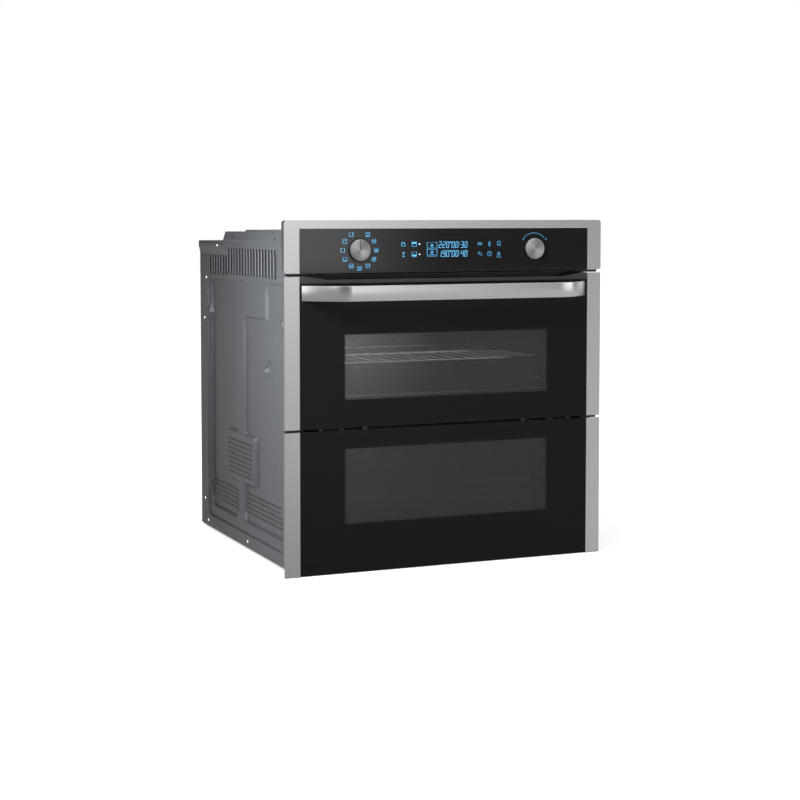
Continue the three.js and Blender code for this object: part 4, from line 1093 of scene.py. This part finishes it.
def buildRack():
    low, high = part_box("wire_rack")
    r = wireShape["frame"]
    z = low.z + r
    x = high.x - r
    bm = bmesh.new()
    for side in (-x, x):
        addRod(bm, (side, low.y + r, z), (side, high.y - r, z), r)
        for y in (low.y + r, high.y - r):
            addBead(bm, (side, y, z), r)
    for y in (low.y + r, (low.y + high.y) / 2, high.y - r):
        addRod(bm, (-x, y, z), (x, y, z), r)
    inset, barZ = wireShape["barInset"], z + wireShape["barRise"]
    count = int(2 * x / wireShape["pitch"])
    for index in range(1, count):
        at = -x + index * (2 * x / count)
        addRod(bm, (at, low.y + inset, barZ), (at, high.y - inset, barZ), wireShape["bar"], 10)
    makePiece("wire_rack_chromed", bm, "rack", "chrome_wire", stands=("wire_rack",), smooth=50)


guideShape = {"wire": 2.5 * mm, "offset": 4 * mm, "uprights": (-205 * mm, 95 * mm),
              "rails": (96, 126, 172, 204, 230, 272, 305, 338)}


def buildShelfGuide(side):
    node = side + "_shelf_guide"
    low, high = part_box(node)
    r = guideShape["wire"]
    outward = 1 if side == "right" else -1
    railX = (low.x + r) if outward > 0 else (high.x - r)
    uprightX = railX + outward * guideShape["offset"]
    bm = bmesh.new()
    for y in guideShape["uprights"]:
        addRod(bm, (uprightX, y, low.z + r), (uprightX, y, high.z - r), r)
        for z in (low.z + r, high.z - r):
            addBead(bm, (uprightX, y, z), r)
    for z in guideShape["rails"]:
        addRod(bm, (railX, low.y + r, z * mm), (railX, high.y - r, z * mm), r)
        for y in (low.y + r, high.y - r):
            addBead(bm, (railX, y, z * mm), r)
    makePiece(node + "_chromed", bm, "cabinet", "chrome_wire", stands=(node,), smooth=50)


ringShape = {"tube": 3.4 * mm, "steps": 64, "tailX": 14 * mm, "tailRadius": 3.2 * mm}


def buildRingHeater(level):
    node = level + "_ring_heater"
    low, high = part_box(node)
    r = ringShape["tube"]
    ring = (high.x - low.x) / 2 - r
    centre = Vector((0, low.y + r, high.z - r - ring))
    bm = bmesh.new()
    made = bmesh.ops.create_circle(bm, segments=12, radius=r)
    bmesh.ops.rotate(bm, verts=made["verts"], cent=(0, 0, 0), matrix=Matrix.Rotation(radians(90), 3, "X"))
    bmesh.ops.translate(bm, verts=made["verts"], vec=(ring, 0, 0))
    bmesh.ops.spin(bm, geom=bm.verts[:] + bm.edges[:], cent=(0, 0, 0), axis=(0, 1, 0), angle=2 * pi,
                   steps=ringShape["steps"], use_merge=True)
    bmesh.ops.translate(bm, verts=bm.verts, vec=centre)
    for x in (-ringShape["tailX"], ringShape["tailX"]):
        addRod(bm, (x, centre.y, low.z + 2 * r), (x, high.y, low.z + 2 * r), ringShape["tailRadius"])
    makePiece(node + "_tube", bm, "cabinet", "cast_aluminium", stands=(node,), smooth=50)


buildRack()
for side in ("left", "right"):
    buildShelfGuide(side)
for level in ("upper", "lower"):
    buildRingHeater(level)
print("wires and heaters built")


# a copy of a CAD node with its triangles joined into flat faces and its edges rounded
def roundedCopy(node, width, smooth=None, segments=2, angle=30):
    bm = bmesh.new()
    bm.from_mesh(nodes[node].data)
    bmesh.ops.transform(bm, matrix=nodes[node].matrix_world, verts=bm.verts)
    bmesh.ops.remove_doubles(bm, verts=bm.verts, dist=1e-5)
    bmesh.ops.dissolve_limit(bm, angle_limit=radians(1), verts=bm.verts, edges=bm.edges)
    softenEdges(bm, width, segments, angle)
    slot = slotOf[node]
    makePiece(node + "_rounded", bm, bodyOf[node], slot, looks[ownLooks.get(node, slot)], (node,), smooth)


slitShades = {"inner": 262 * mm, "outer": 292.5 * mm, "behind": 6 * mm, "thick": 4 * mm,
            "clear": 0.6 * mm, "lap": 0.4 * mm}


# painted shade: black strips that close the ends of the slits above and below the upper leaf, standing for
# the shade seen there
def buildSlitShades():
    upperLow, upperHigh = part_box("upper_right_trim")
    slits = (
        ("cabinet", upperHigh.z + slitShades["clear"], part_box("control_frame")[0].z + slitShades["lap"]),
        ("lower_door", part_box("lower_right_trim")[1].z - slitShades["lap"], upperLow.z - slitShades["clear"]),
    )
    near = frontY + slitShades["behind"]
    for body, bottom, top in slits:
        bm = bmesh.new()
        for outward in (-1, 1):
            ends = sorted((outward * slitShades["inner"], outward * slitShades["outer"]))
            addSlab(bm, (ends[0], near, bottom), (ends[1], near + slitShades["thick"], top))
        softenEdges(bm, 0.3 * mm)
        makePiece(body + "_slit_shades", bm, body, "black_plastic")


buildSlitShades()


controlFoot = {"proud": 0.15 * mm, "deep": 3 * mm, "below": 0.1 * mm, "lap": 0.2 * mm}


# the glass runs down over the foot of the control frame
def buildControlFoot():
    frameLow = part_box("control_frame")[0]
    bm = bmesh.new()
    addSlab(bm, (glassLow.x, frontY - controlFoot["proud"], frameLow.z - controlFoot["below"]),
            (glassHigh.x, frontY + controlFoot["deep"], glassLow.z + controlFoot["lap"]))
    makePiece("control_foot", bm, "cabinet", "black_glass")


buildControlFoot()


rearScrews = {
    "radius": 3.6 * mm, "flat": 0.4, "crossHalf": 2.2 * mm, "crossLine": 0.6 * mm, "crossProud": 0.1 * mm,
    "inset": 12 * mm, "rear_panel": (28, 190, 360, 530), "rear_fan_cover": (86, 255, 424),
}


# cross-head screws down both edges of the rear panel and its fan cover
def buildRearScrews():
    heads = bmesh.new()
    crosses = bmesh.new()
    half, line = rearScrews["crossHalf"], rearScrews["crossLine"] / 2
    reach = rearScrews["radius"] * rearScrews["flat"] + rearScrews["crossProud"]
    for node in ("rear_panel", "rear_fan_cover"):
        low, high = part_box(node)
        for x in (low.x + rearScrews["inset"], high.x - rearScrews["inset"]):
            for height in rearScrews[node]:
                z = height * mm
                addBead(heads, (x, high.y, z), rearScrews["radius"], rearScrews["flat"])
                for wide, tall in ((half, line), (line, half)):
                    addSlab(crosses, (x - wide, high.y, z - tall), (x + wide, high.y + reach, z + tall))
    makePiece("rear_screws", heads, "cabinet", "chrome_wire", smooth=50)
    makePiece("rear_screw_crosses", crosses, "cabinet", "black_paint")


buildRearScrews()


edgeRounding = {
    "control_frame": 0.6, "lower_left_trim": 0.5, "lower_right_trim": 0.5, "upper_left_trim": 0.5,
    "upper_right_trim": 0.5, "upper_door_cap": 0.8, "upper_door_glass": 0.5, "lower_door_glass": 0.5,
    "rear_fan_cover": 1.0, "terminal_block": 1.5, "top_cover": 0.4, "front_frame": 0.4,
    "release_lever": 0.8,
    "divider": 0.6, "control_glass": 0.4, "base_plate": 0.4, "blower_motor": 1.2, "upper_fan_motor": 1.2,
    "lower_fan_motor": 1.2,
}
roundParts = ("blower_motor", "upper_fan_motor", "lower_fan_motor")
for node, millimetres in edgeRounding.items():
    roundedCopy(node, millimetres * mm, 25 if node in roundParts else None)
print("edges rounded")
